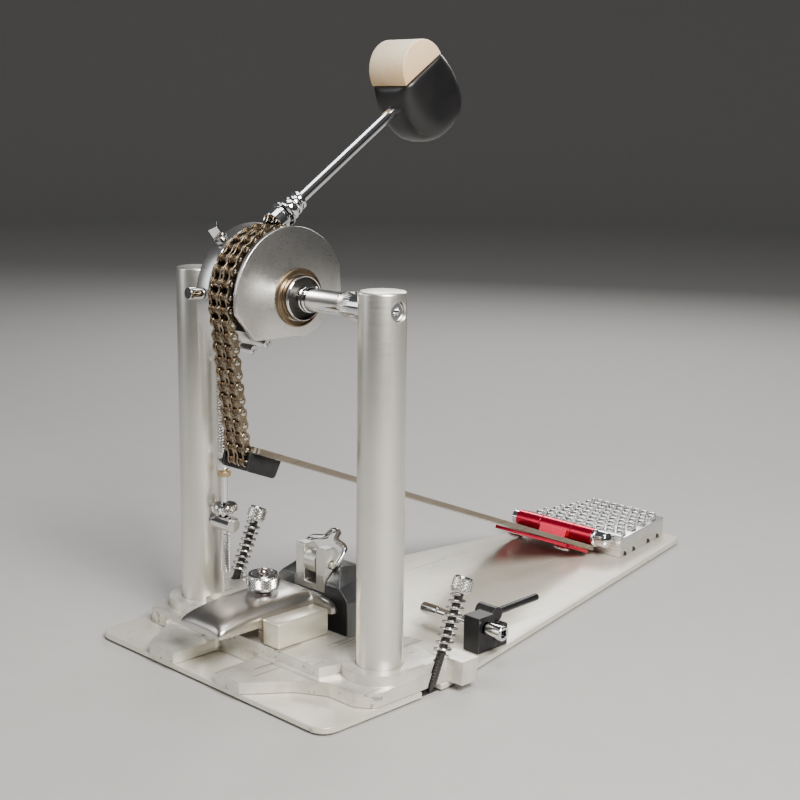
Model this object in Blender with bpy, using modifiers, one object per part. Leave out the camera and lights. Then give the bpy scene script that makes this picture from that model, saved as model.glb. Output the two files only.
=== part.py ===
"""Bass drum pedal with a double chain drive.

A flat base plate carries a machined frame block with two round posts.  An axle runs between
the posts and holds the chain cam and the beater hub.  The chain hangs down the drum side and
pulls on the toe of a long footboard, which is hinged at the heel.  A lever clamp in front
grips the drum hoop, and an extension spring on the left post returns the beater.

Dimensions are in millimetres, and MM turns them into metres.  The drum is towards -Y, the heel
towards +Y, the player's right is +X, and the origin is on the floor midway between the posts.
"""

import math

import bmesh
import bpy
from mathutils import Matrix, Vector

MM = 0.001
GAP = 0.3                       # clearance between touching parts

# Base plate and frame block
PAD_TOP = 0.9
PLATE_BOTTOM = 1.2
PLATE_TOP = 4.2
PLATE_FRONT = -55.2
PLATE_HALF = 89.3
PLATE_STRAIGHT_END = 28.0
PLATE_REAR = 320.0
PLATE_REAR_CENTRE = -6.5
PLATE_REAR_HALF = 36.5
PLATE_CORNER = 10.0
BLOCK_BOTTOM = PLATE_TOP + GAP
JAW_TOP = 10.4
LOWER_TOP = 11.4
BLOCK_TOP = 16.5
BLOCK_HALF = 88.4
BLOCK_REAR = 28.0
BOSS_RADIUS = 18.6
CLAMP_X = -4.7                  # centre line of the hoop clamp
HOOP_GAP_HALF = 16.8

# Posts and axle
POST_X = 69.3
POST_RADIUS = 11.5
POST_TOP = 197.7
POST_SINK = 6.0                 # how far a post sits in the frame block
AXLE_Z = 188.9
AXLE_RADIUS = 5.5
JOURNAL_RADIUS = 4.6
POST_BORE = 7.6
BEARING_RADIUS = 6.6

# Cam and chain
CAM_OFFSET = -4.0               # the chain circle's centre is this far in front of the axle
FLANGE_RADIUS = 35.0
FLANGE_LOW, FLANGE_HIGH = 8.2, 10.7
HUB_LOW, HUB_HIGH = -20.4, -10.6
SET_SCREW_X = -15.3
SET_SCREW_ANGLES = (129.0, 175.5)
CHAIN_RADIUS = 33.6             # pitch line of the wrapped chain
CORE_RADIUS = 29.6
CHAIN_PITCH = 6.35
CHAIN_LOW, CHAIN_HIGH = -9.7, 5.2
CHAIN_LEAN = 7.17               # degrees from plumb at rest, towards the heel
PLATE_THICK = 1.3               # of the chain's outer side plates
LINK_HALF = 2.7
PIN_RADIUS = 1.0
PIN_HOLE = 1.5
WRAP_FIXED = 3                  # links that never leave the cam
WRAP_FREE = 6                   # links that unwrap on a full stroke
RUN_LINKS = 12

# Beater
ROD_X = -2.2
ROD_ANGLE = 33.8                # degrees above level at rest
ROD_OFFSET = 32.2               # from the axle to the rod's line
ROD_RADIUS = 3.1
HEAD_ALONG = 134.5              # from the foot of that offset to the head's centre
PAD_RADIUS = 15.4
PAD_ABOVE = 11.9                # from the rod's line to the pad's centre

# Footboard and heel
HINGE_Y, HINGE_Z = 246.0, 16.0
HINGE_RADIUS = 5.5
HINGE_LEFT, HINGE_RIGHT = -46.5, 14.5
KNUCKLE_CUTS = (-27.0, -2.0)
BOARD_ANGLE = 21.56
BOARD_THICK = 2.9
BOARD_BELOW_HINGE = 7.2         # from the hinge axis to the board's middle
BOARD_LENGTH = 291.0            # from the foot of that offset to the toe
TOE_NOTCH = 281.5               # where the slot for the chain ends
TOE_HALF = 14.0
HEEL_HALF = 30.4
TOE_CENTRE, HEEL_CENTRE = -2.2, -16.0
HEEL_FRONT = 252.2
HEEL_REAR = 314.5
HEEL_TOP = 18.0

# Hoop clamp
JAW_HALF = 16.6
JAW_LOW = 25.4
WING_HALF = 27.5
STUD_Y = -11.0
STUD_RADIUS = 3.0
KNOB_LOW, KNOB_HIGH = 38.3, 46.6
KNOB_RADIUS = 8.4
LEVER_Y, LEVER_Z = 26.0, 45.0
GUIDE_INNER, GUIDE_OUTER = 17.3, 29.2
GUIDE_FRONT, GUIDE_REAR, GUIDE_TOP = -26.4, 7.5, 30.0

# Anchor spurs and return spring
SPUR_LEAN = 24.4
SPUR_RIGHT = (88.0, 22.5)
SPUR_LEFT = (-78.0, 30.0)
SPRING_X = -49.5
CRANK_RADIUS = 27.0
SWIVEL_Z = 61.5

# Key holder
KEY_Y, KEY_Z = 70.5, 17.5


# ---------------------------------------------------------------- scene and materials

def clear_scene():
    """Remove every object that the file holds."""
    for item in list(bpy.data.objects):
        bpy.data.objects.remove(item, do_unlink=True)


def new_collection(name):
    collection = bpy.data.collections.new(name)
    bpy.context.scene.collection.children.link(collection)
    return collection


def finish_material(name, color, roughness, metallic):
    """Principled material with one colour, roughness and metallic value."""
    material = bpy.data.materials.new(name)
    material.use_nodes = True
    shader = material.node_tree.nodes["Principled BSDF"]
    shader.inputs["Base Color"].default_value = (*color, 1.0)
    shader.inputs["Roughness"].default_value = roughness
    shader.inputs["Metallic"].default_value = metallic
    material.diffuse_color = (*color, 1.0)
    return material


clear_scene()
PARTS = new_collection("bass_drum_pedal")
CUTTERS = new_collection("cutters")

FINISH = {
    "plate": finish_material("plate_aluminium", (0.72, 0.70, 0.64), 0.35, 0.9),
    "satin": finish_material("satin_aluminium", (0.70, 0.69, 0.65), 0.38, 1.0),
    "cast": finish_material("cast_aluminium", (0.62, 0.61, 0.59), 0.42, 0.9),
    "dark_cast": finish_material("dark_casting", (0.16, 0.17, 0.18), 0.45, 0.6),
    "chrome": finish_material("chrome", (0.80, 0.80, 0.81), 0.08, 1.0),
    "bronze": finish_material("dark_bronze", (0.20, 0.14, 0.09), 0.35, 0.8),
    "chain": finish_material("chain_steel", (0.45, 0.38, 0.28), 0.28, 1.0),
    "spring": finish_material("spring_steel", (0.62, 0.62, 0.60), 0.25, 1.0),
    "red": finish_material("red_anodised", (0.62, 0.02, 0.05), 0.30, 0.8),
    "board": finish_material("board_aluminium", (0.42, 0.37, 0.30), 0.35, 0.9),
    "black": finish_material("black_oxide", (0.02, 0.02, 0.022), 0.40, 0.3),
    "rubber": finish_material("black_rubber", (0.015, 0.015, 0.015), 0.75, 0.0),
    "jacket": finish_material("black_jacket", (0.012, 0.012, 0.012), 0.38, 0.0),
    "wood": finish_material("pale_wood", (0.80, 0.66, 0.44), 0.55, 0.0),
}


# ---------------------------------------------------------------- shape helpers

def keep(obj, finish):
    """Put a finished part in the pedal's collection with its material."""
    for collection in list(obj.users_collection):
        collection.objects.unlink(obj)
    PARTS.objects.link(obj)
    obj.data.materials.clear()
    obj.data.materials.append(FINISH[finish])
    obj.data.shade_smooth()
    obj.data.set_sharp_from_angle(angle=math.radians(35))
    return obj


def as_cutter(obj):
    """Turn an object into a tool for a Boolean."""
    for collection in list(obj.users_collection):
        collection.objects.unlink(obj)
    CUTTERS.objects.link(obj)
    obj.hide_render = True
    obj.display_type = 'WIRE'
    return obj


def combine(target, tools, operation):
    """Add one Boolean to the target for each tool."""
    for tool in tools:
        as_cutter(tool)
        modifier = target.modifiers.new(f"{operation.lower()}_{tool.name}", 'BOOLEAN')
        modifier.operation = operation
        modifier.object = tool
        modifier.solver = 'EXACT'
    return target


def join(target, *tools):
    return combine(target, tools, 'UNION')


def cut(target, *tools):
    return combine(target, tools, 'DIFFERENCE')


def bevel(obj, width, segments=2, angle=40):
    modifier = obj.modifiers.new("edge", 'BEVEL')
    modifier.width = width * MM
    modifier.segments = segments
    modifier.limit_method = 'ANGLE'
    modifier.angle_limit = math.radians(angle)
    modifier.use_clamp_overlap = True
    return obj


def mesh_object(name, mesh, matrix=None):
    obj = bpy.data.objects.new(name, mesh)
    CUTTERS.objects.link(obj)
    if matrix is not None:
        obj.matrix_world = matrix
    return obj


def cuboid(name, low, high):
    """Box between two opposite corners."""
    mesh = bpy.data.meshes.new(name)
    work = bmesh.new()
    bmesh.ops.create_cube(work, size=1.0)
    size = [(b - a) * MM for a, b in zip(low, high)]
    centre = [(a + b) / 2 * MM for a, b in zip(low, high)]
    bmesh.ops.scale(work, vec=size, verts=work.verts)
    work.to_mesh(mesh)
    work.free()
    return mesh_object(name, mesh, Matrix.Translation(centre))


def along(start, end):
    """Matrix that puts local +Z on the line from start to end, with its origin at start."""
    direction = Vector(end) - Vector(start)
    turn = direction.to_track_quat('Z', 'Y').to_matrix().to_4x4()
    return Matrix.Translation(Vector(start) * MM) @ turn


def rod(name, start, end, radius, segments=24, end_radius=None):
    """Solid cylinder or cone from start to end."""
    length = (Vector(end) - Vector(start)).length * MM
    mesh = bpy.data.meshes.new(name)
    work = bmesh.new()
    bmesh.ops.create_cone(
        work, cap_ends=True, segments=segments, radius1=radius * MM,
        radius2=(radius if end_radius is None else end_radius) * MM, depth=length)
    bmesh.ops.translate(work, vec=(0, 0, length / 2), verts=work.verts)
    work.to_mesh(mesh)
    work.free()
    return mesh_object(name, mesh, along(start, end))


def turned(name, profile, start, end, segments=32):
    """Turned part: (radius, height) points from the top of the axis down its outer side.

    A profile that ends where it began is a ring, and any other profile starts and ends on the axis.
    """
    mesh = bpy.data.meshes.new(name)
    closed = profile[0] == profile[-1]
    points = [(radius * MM, 0, height * MM) for radius, height in (profile[:-1] if closed else profile)]
    edges = [(i, i + 1) for i in range(len(points) - 1)]
    mesh.from_pydata(points, edges + ([(len(points) - 1, 0)] if closed else []), [])
    obj = mesh_object(name, mesh, along(start, end))
    screw = obj.modifiers.new("turn", 'SCREW')
    screw.axis = 'Z'
    screw.steps = segments
    screw.render_steps = segments
    screw.use_merge_vertices = True
    screw.merge_threshold = 0.00001
    return obj


def arc(centre, radius, start, end, steps=8):
    """Points on an arc between two angles in degrees."""
    angles = [math.radians(start + (end - start) * i / steps) for i in range(steps + 1)]
    return [(centre[0] + radius * math.cos(a), centre[1] + radius * math.sin(a)) for a in angles]


def rounded(corners, steps=3):
    """Outline from (x, y, radius) corners, each rounded by its own radius."""
    points = []
    count = len(corners)
    for index, (x, y, radius) in enumerate(corners):
        here = Vector((x, y))
        if radius <= 0:
            points.append((x, y))
            continue
        back = (Vector(corners[index - 1][:2]) - here).normalized()
        ahead = (Vector(corners[(index + 1) % count][:2]) - here).normalized()
        half = back.angle(ahead) / 2
        reach = radius / math.tan(half)
        first, last = here + back * reach, here + ahead * reach
        for step in range(steps + 1):
            t = step / steps
            points.append(tuple(first * (1 - t) ** 2 + here * 2 * t * (1 - t) + last * t ** 2))
    return points


SIDEWAYS = Matrix(((0, 0, 1, 0), (1, 0, 0, 0), (0, 1, 0, 0), (0, 0, 0, 1)))


def slab(name, outline, low, high, frame=None):
    """Flat outline with a thickness, from low to high along the frame's own Z."""
    curve = bpy.data.curves.new(name, 'CURVE')
    curve.dimensions = '2D'
    curve.fill_mode = 'BOTH'
    curve.extrude = (high - low) / 2 * MM
    spline = curve.splines.new('POLY')
    spline.points.add(len(outline) - 1)
    for point, (x, y) in zip(spline.points, outline):
        point.co = (x * MM, y * MM, 0, 1)
    spline.use_cyclic_u = True
    shape = bpy.data.objects.new(name + "_outline", curve)
    CUTTERS.objects.link(shape)
    shape.matrix_world = (frame or Matrix()) @ Matrix.Translation((0, 0, (low + high) / 2 * MM))
    return solid_from_curve(name, shape)


def solid_from_curve(name, shape):
    """Closed mesh object made from a curve object, which is removed."""
    bpy.context.view_layer.update()
    mesh = bpy.data.meshes.new_from_object(shape.evaluated_get(bpy.context.evaluated_depsgraph_get()))
    work = bmesh.new()
    work.from_mesh(mesh)
    bmesh.ops.remove_doubles(work, verts=work.verts, dist=0.000005)
    bmesh.ops.recalc_face_normals(work, faces=work.faces)
    work.to_mesh(mesh)
    work.free()
    obj = mesh_object(name, mesh, shape.matrix_world.copy())
    bpy.data.objects.remove(shape, do_unlink=True)
    return obj


def wire(name, points, radius, sides=2):
    """Round wire along a chain of points."""
    curve = bpy.data.curves.new(name, 'CURVE')
    curve.dimensions = '3D'
    curve.bevel_depth = radius * MM
    curve.bevel_resolution = sides
    curve.use_fill_caps = True
    spline = curve.splines.new('POLY')
    spline.points.add(len(points) - 1)
    for point, place in zip(spline.points, points):
        point.co = (*[value * MM for value in place], 1)
    shape = bpy.data.objects.new(name + "_path", curve)
    CUTTERS.objects.link(shape)
    return solid_from_curve(name, shape)


def side_point(angle, radius, centre=(0.0, AXLE_Z)):
    """(y, z) at an angle in degrees from +Y towards +Z."""
    a = math.radians(angle)
    return centre[0] + radius * math.cos(a), centre[1] + radius * math.sin(a)


# ---------------------------------------------------------------- base and frame

def base_outline(inset=0.0):
    half = PLATE_HALF - inset
    rear = PLATE_REAR_HALF - inset
    centre = PLATE_REAR_CENTRE
    return rounded([
        (-half, PLATE_FRONT + inset, PLATE_CORNER),
        (half, PLATE_FRONT + inset, PLATE_CORNER),
        (half, PLATE_STRAIGHT_END, 14.0),
        (centre + rear, PLATE_REAR - inset, PLATE_CORNER),
        (centre - rear, PLATE_REAR - inset, PLATE_CORNER),
        (-half, PLATE_STRAIGHT_END, 14.0),
    ], steps=5)


def build_base():
    """Rubber pad and base plate, with a notch in the plate for each spur's point."""
    keep(slab("floor_pad", base_outline(3.0), 0.0, PAD_TOP), "rubber")
    plate = slab("base_plate", base_outline(), PLATE_BOTTOM, PLATE_TOP)
    for side, (spur_x, spur_y) in (("right", SPUR_RIGHT), ("left", SPUR_LEFT)):
        outward = 1 if spur_x > 0 else -1
        edge = outward * (PLATE_HALF + 4)
        low, high = sorted((spur_x - outward * 5.0, edge))
        notch = cuboid(f"notch_{side}", (low, spur_y - 13.0, -1), (high, spur_y + 0.5, PLATE_TOP + 1))
        cut(plate, notch)
    keep(bevel(plate, 0.4, 1), "plate")


def block_outline_lower():
    """Lower level of the frame block, with the two hoop jaws in front."""
    return rounded([
        (CLAMP_X + HOOP_GAP_HALF, -56.4, 0),
        (CLAMP_X + HOOP_GAP_HALF + 18.6, -56.4, 1.0),
        (47.0, -35.6, 14.0),
        (62.0, -27.2, 9.0),
        (80.0, -27.2, 6.0),
        (BLOCK_HALF, -20.0, 6.0),
        (BLOCK_HALF, 28.0, 0),
        (98.2, 28.4, 0.8),
        (98.2, 40.0, 1.5),
        (84.0, 40.0, 0),
        (54.0, 34.0, 8.0),
        (30.0, 12.0, 6.0),
        (-39.4, 12.0, 6.0),
        (-54.0, 34.0, 8.0),
        (-66.0, 40.0, 0),
        (-BLOCK_HALF, 40.0, 2.0),
        (-BLOCK_HALF, -20.0, 6.0),
        (-80.0, -27.2, 6.0),
        (-66.0, -27.2, 9.0),
        (-56.0, -35.6, 14.0),
        (CLAMP_X - HOOP_GAP_HALF - 20.0, -56.4, 1.0),
        (CLAMP_X - HOOP_GAP_HALF, -56.4, 0),
        (CLAMP_X - HOOP_GAP_HALF, -27.0, 3.0),
        (CLAMP_X + HOOP_GAP_HALF, -27.0, 3.0),
    ])


def block_outline_upper():
    """Upper level of the frame block: a cross bar with a round boss under each post."""
    right_boss = arc((POST_X, 0), BOSS_RADIUS, -128, -20, 8)
    left_boss = arc((-POST_X, 0), BOSS_RADIUS, 200, 308, 8)
    return (
        [(54.5, GUIDE_FRONT)] + right_boss
        + [(BLOCK_HALF, 28.0), (98.2, 28.4), (98.2, 40.0), (84.0, 40.0)]
        + rounded([(56.0, 31.0, 6.0), (34.0, 11.5, 4.0), (-43.4, 11.5, 4.0), (-56.0, 31.0, 6.0)])
        + [(-66.0, 40.0), (-BLOCK_HALF, 40.0), (-BLOCK_HALF, -3.0)]
        + left_boss + [(-54.5, GUIDE_FRONT)])


def build_frame_block():
    block = slab("frame_block", block_outline_lower(), BLOCK_BOTTOM, LOWER_TOP)
    join(block, slab("block_upper", block_outline_upper(), LOWER_TOP - 1.0, BLOCK_TOP))
    jaw_trim = cuboid("jaw_trim", (-60, -70, JAW_TOP), (60, -29.5, LOWER_TOP + 2))
    cut(block, jaw_trim)
    for sign in (-1, 1):
        seat = rod(f"post_seat_{sign}", (sign * POST_X, 0, BLOCK_TOP - POST_SINK), (sign * POST_X, 0, 30),
                   POST_RADIUS + GAP, 40)
        cut(block, seat)
    for side, (x, y) in (("right", SPUR_RIGHT), ("left", SPUR_LEFT)):
        lean = math.tan(math.radians(SPUR_LEAN))
        hole = rod(f"spur_hole_{side}", (x, y - lean * 16, 0.5), (x, y + lean * 16, 32.5), 2.9, 20)
        cut(block, hole)
    stud_seat = rod("stud_seat", (CLAMP_X, STUD_Y, 8), (CLAMP_X, STUD_Y, 20), STUD_RADIUS + GAP, 20)
    cut(block, stud_seat)
    keep(bevel(block, 0.35, 1), "cast")
    for side, sign in (("right", 1), ("left", -1)):
        low, high = sorted((CLAMP_X + sign * GUIDE_INNER, CLAMP_X + sign * GUIDE_OUTER))
        guide = cuboid(f"guide_block_{side}", (low, GUIDE_FRONT + 0.4, BLOCK_TOP + GAP), (high, GUIDE_REAR, GUIDE_TOP))
        keep(bevel(guide, 0.6, 2), "plate")


def build_posts():
    """Two round posts, each bored across for the axle, with a flanged bearing in its inner side."""
    for side, sign in (("right", 1), ("left", -1)):
        x = sign * POST_X
        foot = BLOCK_TOP - POST_SINK + GAP
        height = POST_TOP - foot
        post = turned(f"post_{side}", [
            (0, height), (POST_RADIUS - 0.8, height), (POST_RADIUS, height - 0.8), (POST_RADIUS, 0), (0, 0),
        ], (x, 0, foot), (x, 0, POST_TOP), 56)
        cut(post, rod(f"bearing_bore_{side}", (sign * 50, 0, AXLE_Z), (sign * 72, 0, AXLE_Z), POST_BORE, 32),
            rod(f"axle_bore_{side}", (sign * 60, 0, AXLE_Z), (sign * 90, 0, AXLE_Z), JOURNAL_RADIUS + GAP, 32))
        if sign < 0:
            pivot = rod("swivel_bore", (x, 0, SWIVEL_Z), (x + 20, 0, SWIVEL_Z), 3.6, 24)
            cut(post, pivot)
        keep(post, "satin")
        bearing = turned(f"bearing_{side}", [
            (AXLE_RADIUS + 0.05, 0), (7.0, 0), (7.0, -4.3), (POST_BORE - GAP, -4.6), (POST_BORE - GAP, -18.0),
            (AXLE_RADIUS + 0.05, -18.0), (AXLE_RADIUS + 0.05, 0),
        ], (sign * 53.2, 0, AXLE_Z), (sign * 43.2, 0, AXLE_Z), 32)
        keep(bearing, "chrome")


# ---------------------------------------------------------------- axle, cam and hub

def build_axle():
    """Axle whose reduced ends sit in the posts' outer walls."""
    axle = rod("axle", (-71.5, 0, AXLE_Z), (71.5, 0, AXLE_Z), AXLE_RADIUS, 32)
    join(axle, rod("axle_journals", (-78.5, 0, AXLE_Z), (78.5, 0, AXLE_Z), JOURNAL_RADIUS, 32))
    keep(axle, "chrome")


def flange_outline():
    """Cam side plate: a round lobe cut by a flat at the heel side, below and at the front corner."""
    centre = (CAM_OFFSET, AXLE_Z)
    lobe = arc(centre, FLANGE_RADIUS, 189.0, 24.5, 30)
    hub = arc((0, AXLE_Z), 20.3, -1.0, -80.0, 6)
    return lobe + [(28.6, AXLE_Z + 1.0)] + hub + [(-1.0, AXLE_Z - 19.0), (-27.5, AXLE_Z - 19.0)]


def build_cam():
    bore = AXLE_RADIUS + GAP
    flange = slab("cam_flange", flange_outline(), FLANGE_LOW, FLANGE_HIGH, SIDEWAYS)
    cut(flange, rod("flange_bore", (0, 0, AXLE_Z), (20, 0, AXLE_Z), bore, 32))
    keep(flange, "satin")

    core_centre = (CAM_OFFSET, AXLE_Z)
    core_outline = arc(core_centre, CORE_RADIUS, 210.0, 0.0, 26) + arc((0, AXLE_Z), 17.5, -5.0, -95.0, 6)
    core = slab("cam_core", core_outline, HUB_HIGH + GAP, FLANGE_LOW - GAP, SIDEWAYS)
    cut(core, rod("core_bore", (-15, 0, AXLE_Z), (15, 0, AXLE_Z), bore, 32))
    boss = [rod_point(along_rod, above)[1:] for along_rod, above in (
        (19.0, -20.0), (19.0, 3.9), (23.2, 5.6), (23.2, -7.0), (26.0, -20.0))]
    join(core, slab("rod_boss", boss, HUB_HIGH + 1.5, FLANGE_LOW - 1.5, SIDEWAYS))
    cut(core, rod("core_rod_seat", rod_point(17.0), rod_point(40.0), ROD_RADIUS + GAP, 24))
    keep(core, "dark_cast")

    hub = slab("hub_flange", arc(core_centre, FLANGE_RADIUS, 0, 360, 64)[:-1], HUB_LOW, HUB_HIGH, SIDEWAYS)
    cut(hub, rod("hub_bore", (-25, 0, AXLE_Z), (0, 0, AXLE_Z), bore, 32))
    for index, angle in enumerate(SET_SCREW_ANGLES):
        cut(hub, rod(f"set_screw_seat_{index}", screw_point(angle, -9.0), screw_point(angle, 5.0), 2.6, 20))
    keep(hub, "satin")

    ring = turned("hub_ring", [
        (11.6, 12.3), (14.0, 12.3), (14.5, 11.8), (14.5, 11.0), (11.6, 11.0), (11.6, 12.3),
    ], (0, 0, AXLE_Z), (10, 0, AXLE_Z), 40)
    keep(ring, "bronze")
    collar = turned("hub_collar", [
        (AXLE_RADIUS + GAP, 21.0), (6.6, 21.0), (6.6, 15.4), (8.6, 15.0), (10.9, 15.6), (11.2, 15.0), (11.2, 11.0),
        (AXLE_RADIUS + GAP, 11.0), (AXLE_RADIUS + GAP, 21.0),
    ], (0, 0, AXLE_Z), (10, 0, AXLE_Z), 40)
    keep(collar, "chrome")


def screw_point(angle, beyond):
    """Point on a set screw's axis, at a distance beyond the hub's rim."""
    return (SET_SCREW_X, *side_point(angle, FLANGE_RADIUS + beyond, (CAM_OFFSET, AXLE_Z)))


def build_set_screws():
    """The hub's square-headed clamp screw and its round-headed mate, both radial."""
    angle = SET_SCREW_ANGLES[0]
    square = rod("set_screw_square", screw_point(angle, -8.6), screw_point(angle, 9.4), 2.0, 16)
    join(square, rod("square_collar", screw_point(angle, 0.6), screw_point(angle, 2.2), 3.3, 20),
         rod("square_head", screw_point(angle, 3.6), screw_point(angle, 9.8), 3.3, 4))
    keep(square, "chrome")

    angle = SET_SCREW_ANGLES[1]
    screw = rod("set_screw_round", screw_point(angle, -8.6), screw_point(angle, 8.0), 2.0, 16)
    join(screw, rod("round_head", screw_point(angle, 0.6), screw_point(angle, 8.6), 2.9, 24))
    keep(screw, "chrome")


def build_spring_crank():
    """Arm on the axle whose pin stretches the return spring as the beater swings forward."""
    crank = turned("spring_crank", [
        (AXLE_RADIUS + GAP, 4.2), (10.5, 4.2), (11.0, 3.7), (11.0, -3.7), (10.5, -4.2), (AXLE_RADIUS + GAP, -4.2),
        (AXLE_RADIUS + GAP, 4.2),
    ], (SPRING_X + 5.6, 0, AXLE_Z), (SPRING_X + 15, 0, AXLE_Z), 32)
    pin_z = AXLE_Z - CRANK_RADIUS
    arm = slab("crank_arm", rounded([
        (-6.5, AXLE_Z - 7.0, 0), (-4.0, pin_z - 4.0, 3.0), (4.0, pin_z - 4.0, 3.0), (6.5, AXLE_Z - 7.0, 0),
    ]), SPRING_X + 3.0, SPRING_X + 8.0, SIDEWAYS)
    pin = rod("crank_pin", (SPRING_X - 3.2, 0, pin_z), (SPRING_X + 5.0, 0, pin_z), 1.7, 16)
    join(crank, arm, pin)
    keep(crank, "satin")


# ---------------------------------------------------------------- beater

def rod_point(distance, above=0.0, x=ROD_X):
    """Point at a distance along the beater rod's line and above it, on the strike side."""
    a = math.radians(ROD_ANGLE)
    y = distance * math.cos(a) - (ROD_OFFSET + above) * math.sin(a)
    z = AXLE_Z + distance * math.sin(a) + (ROD_OFFSET + above) * math.cos(a)
    return x, y, z


def build_beater_collar():
    """Stepped clamp collar that holds the rod above the cam's core."""
    start, end = rod_point(23.5), rod_point(60)
    inner = ROD_RADIUS + GAP
    collar = turned("beater_collar", [
        (inner, 12.6), (4.6, 12.6), (5.0, 12.2), (5.0, 10.4), (4.5, 10.0), (4.5, 9.0), (5.5, 8.6), (5.5, 6.6),
        (4.9, 6.2), (4.9, 5.4), (5.9, 5.0), (5.9, 2.4), (5.2, 2.0), (5.2, 1.3), (6.9, 1.2), (6.9, 0), (inner, 0),
        (inner, 12.6),
    ], start, end, 32)
    keep(collar, "chrome")


def jacket_profile():
    """Side outline of the beater's jacket in (along the rod, above its line)."""
    return rounded([
        (-17.0, PAD_ABOVE - 0.4, 1.2), (17.0, PAD_ABOVE - 0.4, 1.2), (22.6, 1.5, 8.0), (21.0, -22.0, 12.0),
        (2.0, -28.6, 12.0), (-19.5, -24.5, 10.0), (-22.0, 0.5, 8.0),
    ], steps=4)


def head_frame():
    """Frame with X along the rod, Y above it and Z across, at the head's centre."""
    a = math.radians(ROD_ANGLE)
    matrix = Matrix(((0, 0, 1, 0), (math.cos(a), -math.sin(a), 0, 0), (math.sin(a), math.cos(a), 0, 0), (0, 0, 0, 1)))
    x, y, z = rod_point(HEAD_ALONG)
    return Matrix.Translation((x * MM, y * MM, z * MM)) @ matrix


def build_beater():
    frame = head_frame()
    keep(rod("beater_rod", rod_point(20.0), rod_point(HEAD_ALONG + 12.0), ROD_RADIUS, 24), "chrome")
    jacket = slab("beater_jacket", jacket_profile(), -14.6, 14.6, frame)
    bevel(jacket, 3.2, 3, 50)
    cut(jacket, rod("rod_socket", rod_point(HEAD_ALONG - 40), rod_point(HEAD_ALONG + 12.6), ROD_RADIUS + GAP, 24))
    keep(jacket, "jacket")
    half_round = arc((0, PAD_ABOVE), PAD_RADIUS, 0, 180, 24)
    keep(bevel(slab("beater_pad", half_round, -12.8, 12.8, frame), 0.5, 1), "wood")


# ---------------------------------------------------------------- chain

def wrap_pin(index):
    """(y, z) of a pin on the wrapped part, counted up from where the chain leaves the cam."""
    step = 2 * math.degrees(math.asin(CHAIN_PITCH / 2 / CHAIN_RADIUS))
    return side_point(180 + CHAIN_LEAN - step * index, CHAIN_RADIUS, (CAM_OFFSET, AXLE_Z))


def run_pin(index):
    """(y, z) of a pin on the straight part, counted down from where the chain leaves the cam."""
    y, z = wrap_pin(0)
    lean = math.radians(CHAIN_LEAN)
    return y + index * CHAIN_PITCH * math.sin(lean), z - index * CHAIN_PITCH * math.cos(lean)


def link_shape(name, first, last, low, high, half=LINK_HALF):
    """Plate with round ends over two pins, from low to high in X."""
    angle = math.degrees(math.atan2(last[1] - first[1], last[0] - first[0]))
    outline = arc(last, half, angle - 90, angle + 90, 6) + arc(first, half, angle + 90, angle + 270, 6)
    return slab(name, outline, low, high, SIDEWAYS)


def chain_pin(name, place):
    return rod(name, (CHAIN_LOW + 0.3, *place), (CHAIN_HIGH - 0.3, *place), PIN_RADIUS, 10)


INNER_LOW = CHAIN_LOW + PLATE_THICK + GAP
INNER_HIGH = CHAIN_HIGH - PLATE_THICK - GAP


def inner_link(name, first, last):
    """Link between the side plates, with a hole at each end."""
    link = link_shape(name, first, last, INNER_LOW, INNER_HIGH)
    for index, place in enumerate((first, last)):
        cut(link, rod(f"{name}_hole_{index}", (-20, *place), (20, *place), PIN_HOLE, 12))
    return link


def outer_link(name, first, last, both_pins=True):
    """Pair of side plates on two pins that run through the neighbours, or on the last pin only."""
    link = link_shape(name, first, last, CHAIN_LOW, CHAIN_LOW + PLATE_THICK)
    join(link, link_shape(name + "_plate", first, last, CHAIN_HIGH - PLATE_THICK, CHAIN_HIGH),
         chain_pin(name + "_pin_b", last))
    if both_pins:
        join(link, chain_pin(name + "_pin_a", first))
    return link


def build_chain():
    wrap = inner_link("chain_wrap", wrap_pin(WRAP_FREE), wrap_pin(WRAP_FREE + 1))
    for index in range(WRAP_FREE + 1, WRAP_FREE + WRAP_FIXED):
        spread = 1.2 if (index - WRAP_FREE) % 2 else 0.0
        shape = link_shape(f"wrap_{index}", wrap_pin(index), wrap_pin(index + 1), INNER_LOW - spread,
                           INNER_HIGH + spread, LINK_HALF + 0.1 if spread else LINK_HALF)
        join(wrap, shape)
    keep(wrap, "chain")
    for index in range(1, WRAP_FREE + 1):
        shape = inner_link if index % 2 else outer_link
        keep(shape(f"chain_link_{index}", wrap_pin(index - 1), wrap_pin(index)), "chain")
    run = outer_link("chain_run", run_pin(0), run_pin(1), both_pins=False)
    join(run, link_shape("run_body", run_pin(1), run_pin(RUN_LINKS), INNER_LOW, INNER_HIGH, LINK_HALF - 0.4))
    for index in range(2, RUN_LINKS, 2):
        join(run, link_shape(f"run_plate_{index}", run_pin(index), run_pin(index + 1), CHAIN_LOW, CHAIN_HIGH))
    keep(run, "chain")


# ---------------------------------------------------------------- footboard and heel

def board_frame():
    """Frame with X across, Y up the board from its heel end and Z out of its upper face."""
    a = math.radians(BOARD_ANGLE)
    matrix = Matrix(((-1, 0, 0, 0), (0, -math.cos(a), math.sin(a), 0), (0, math.sin(a), math.cos(a), 0), (0, 0, 0, 1)))
    y = HINGE_Y - BOARD_BELOW_HINGE * math.sin(a)
    z = HINGE_Z - BOARD_BELOW_HINGE * math.cos(a)
    return Matrix.Translation((0, y * MM, z * MM)) @ matrix


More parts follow.
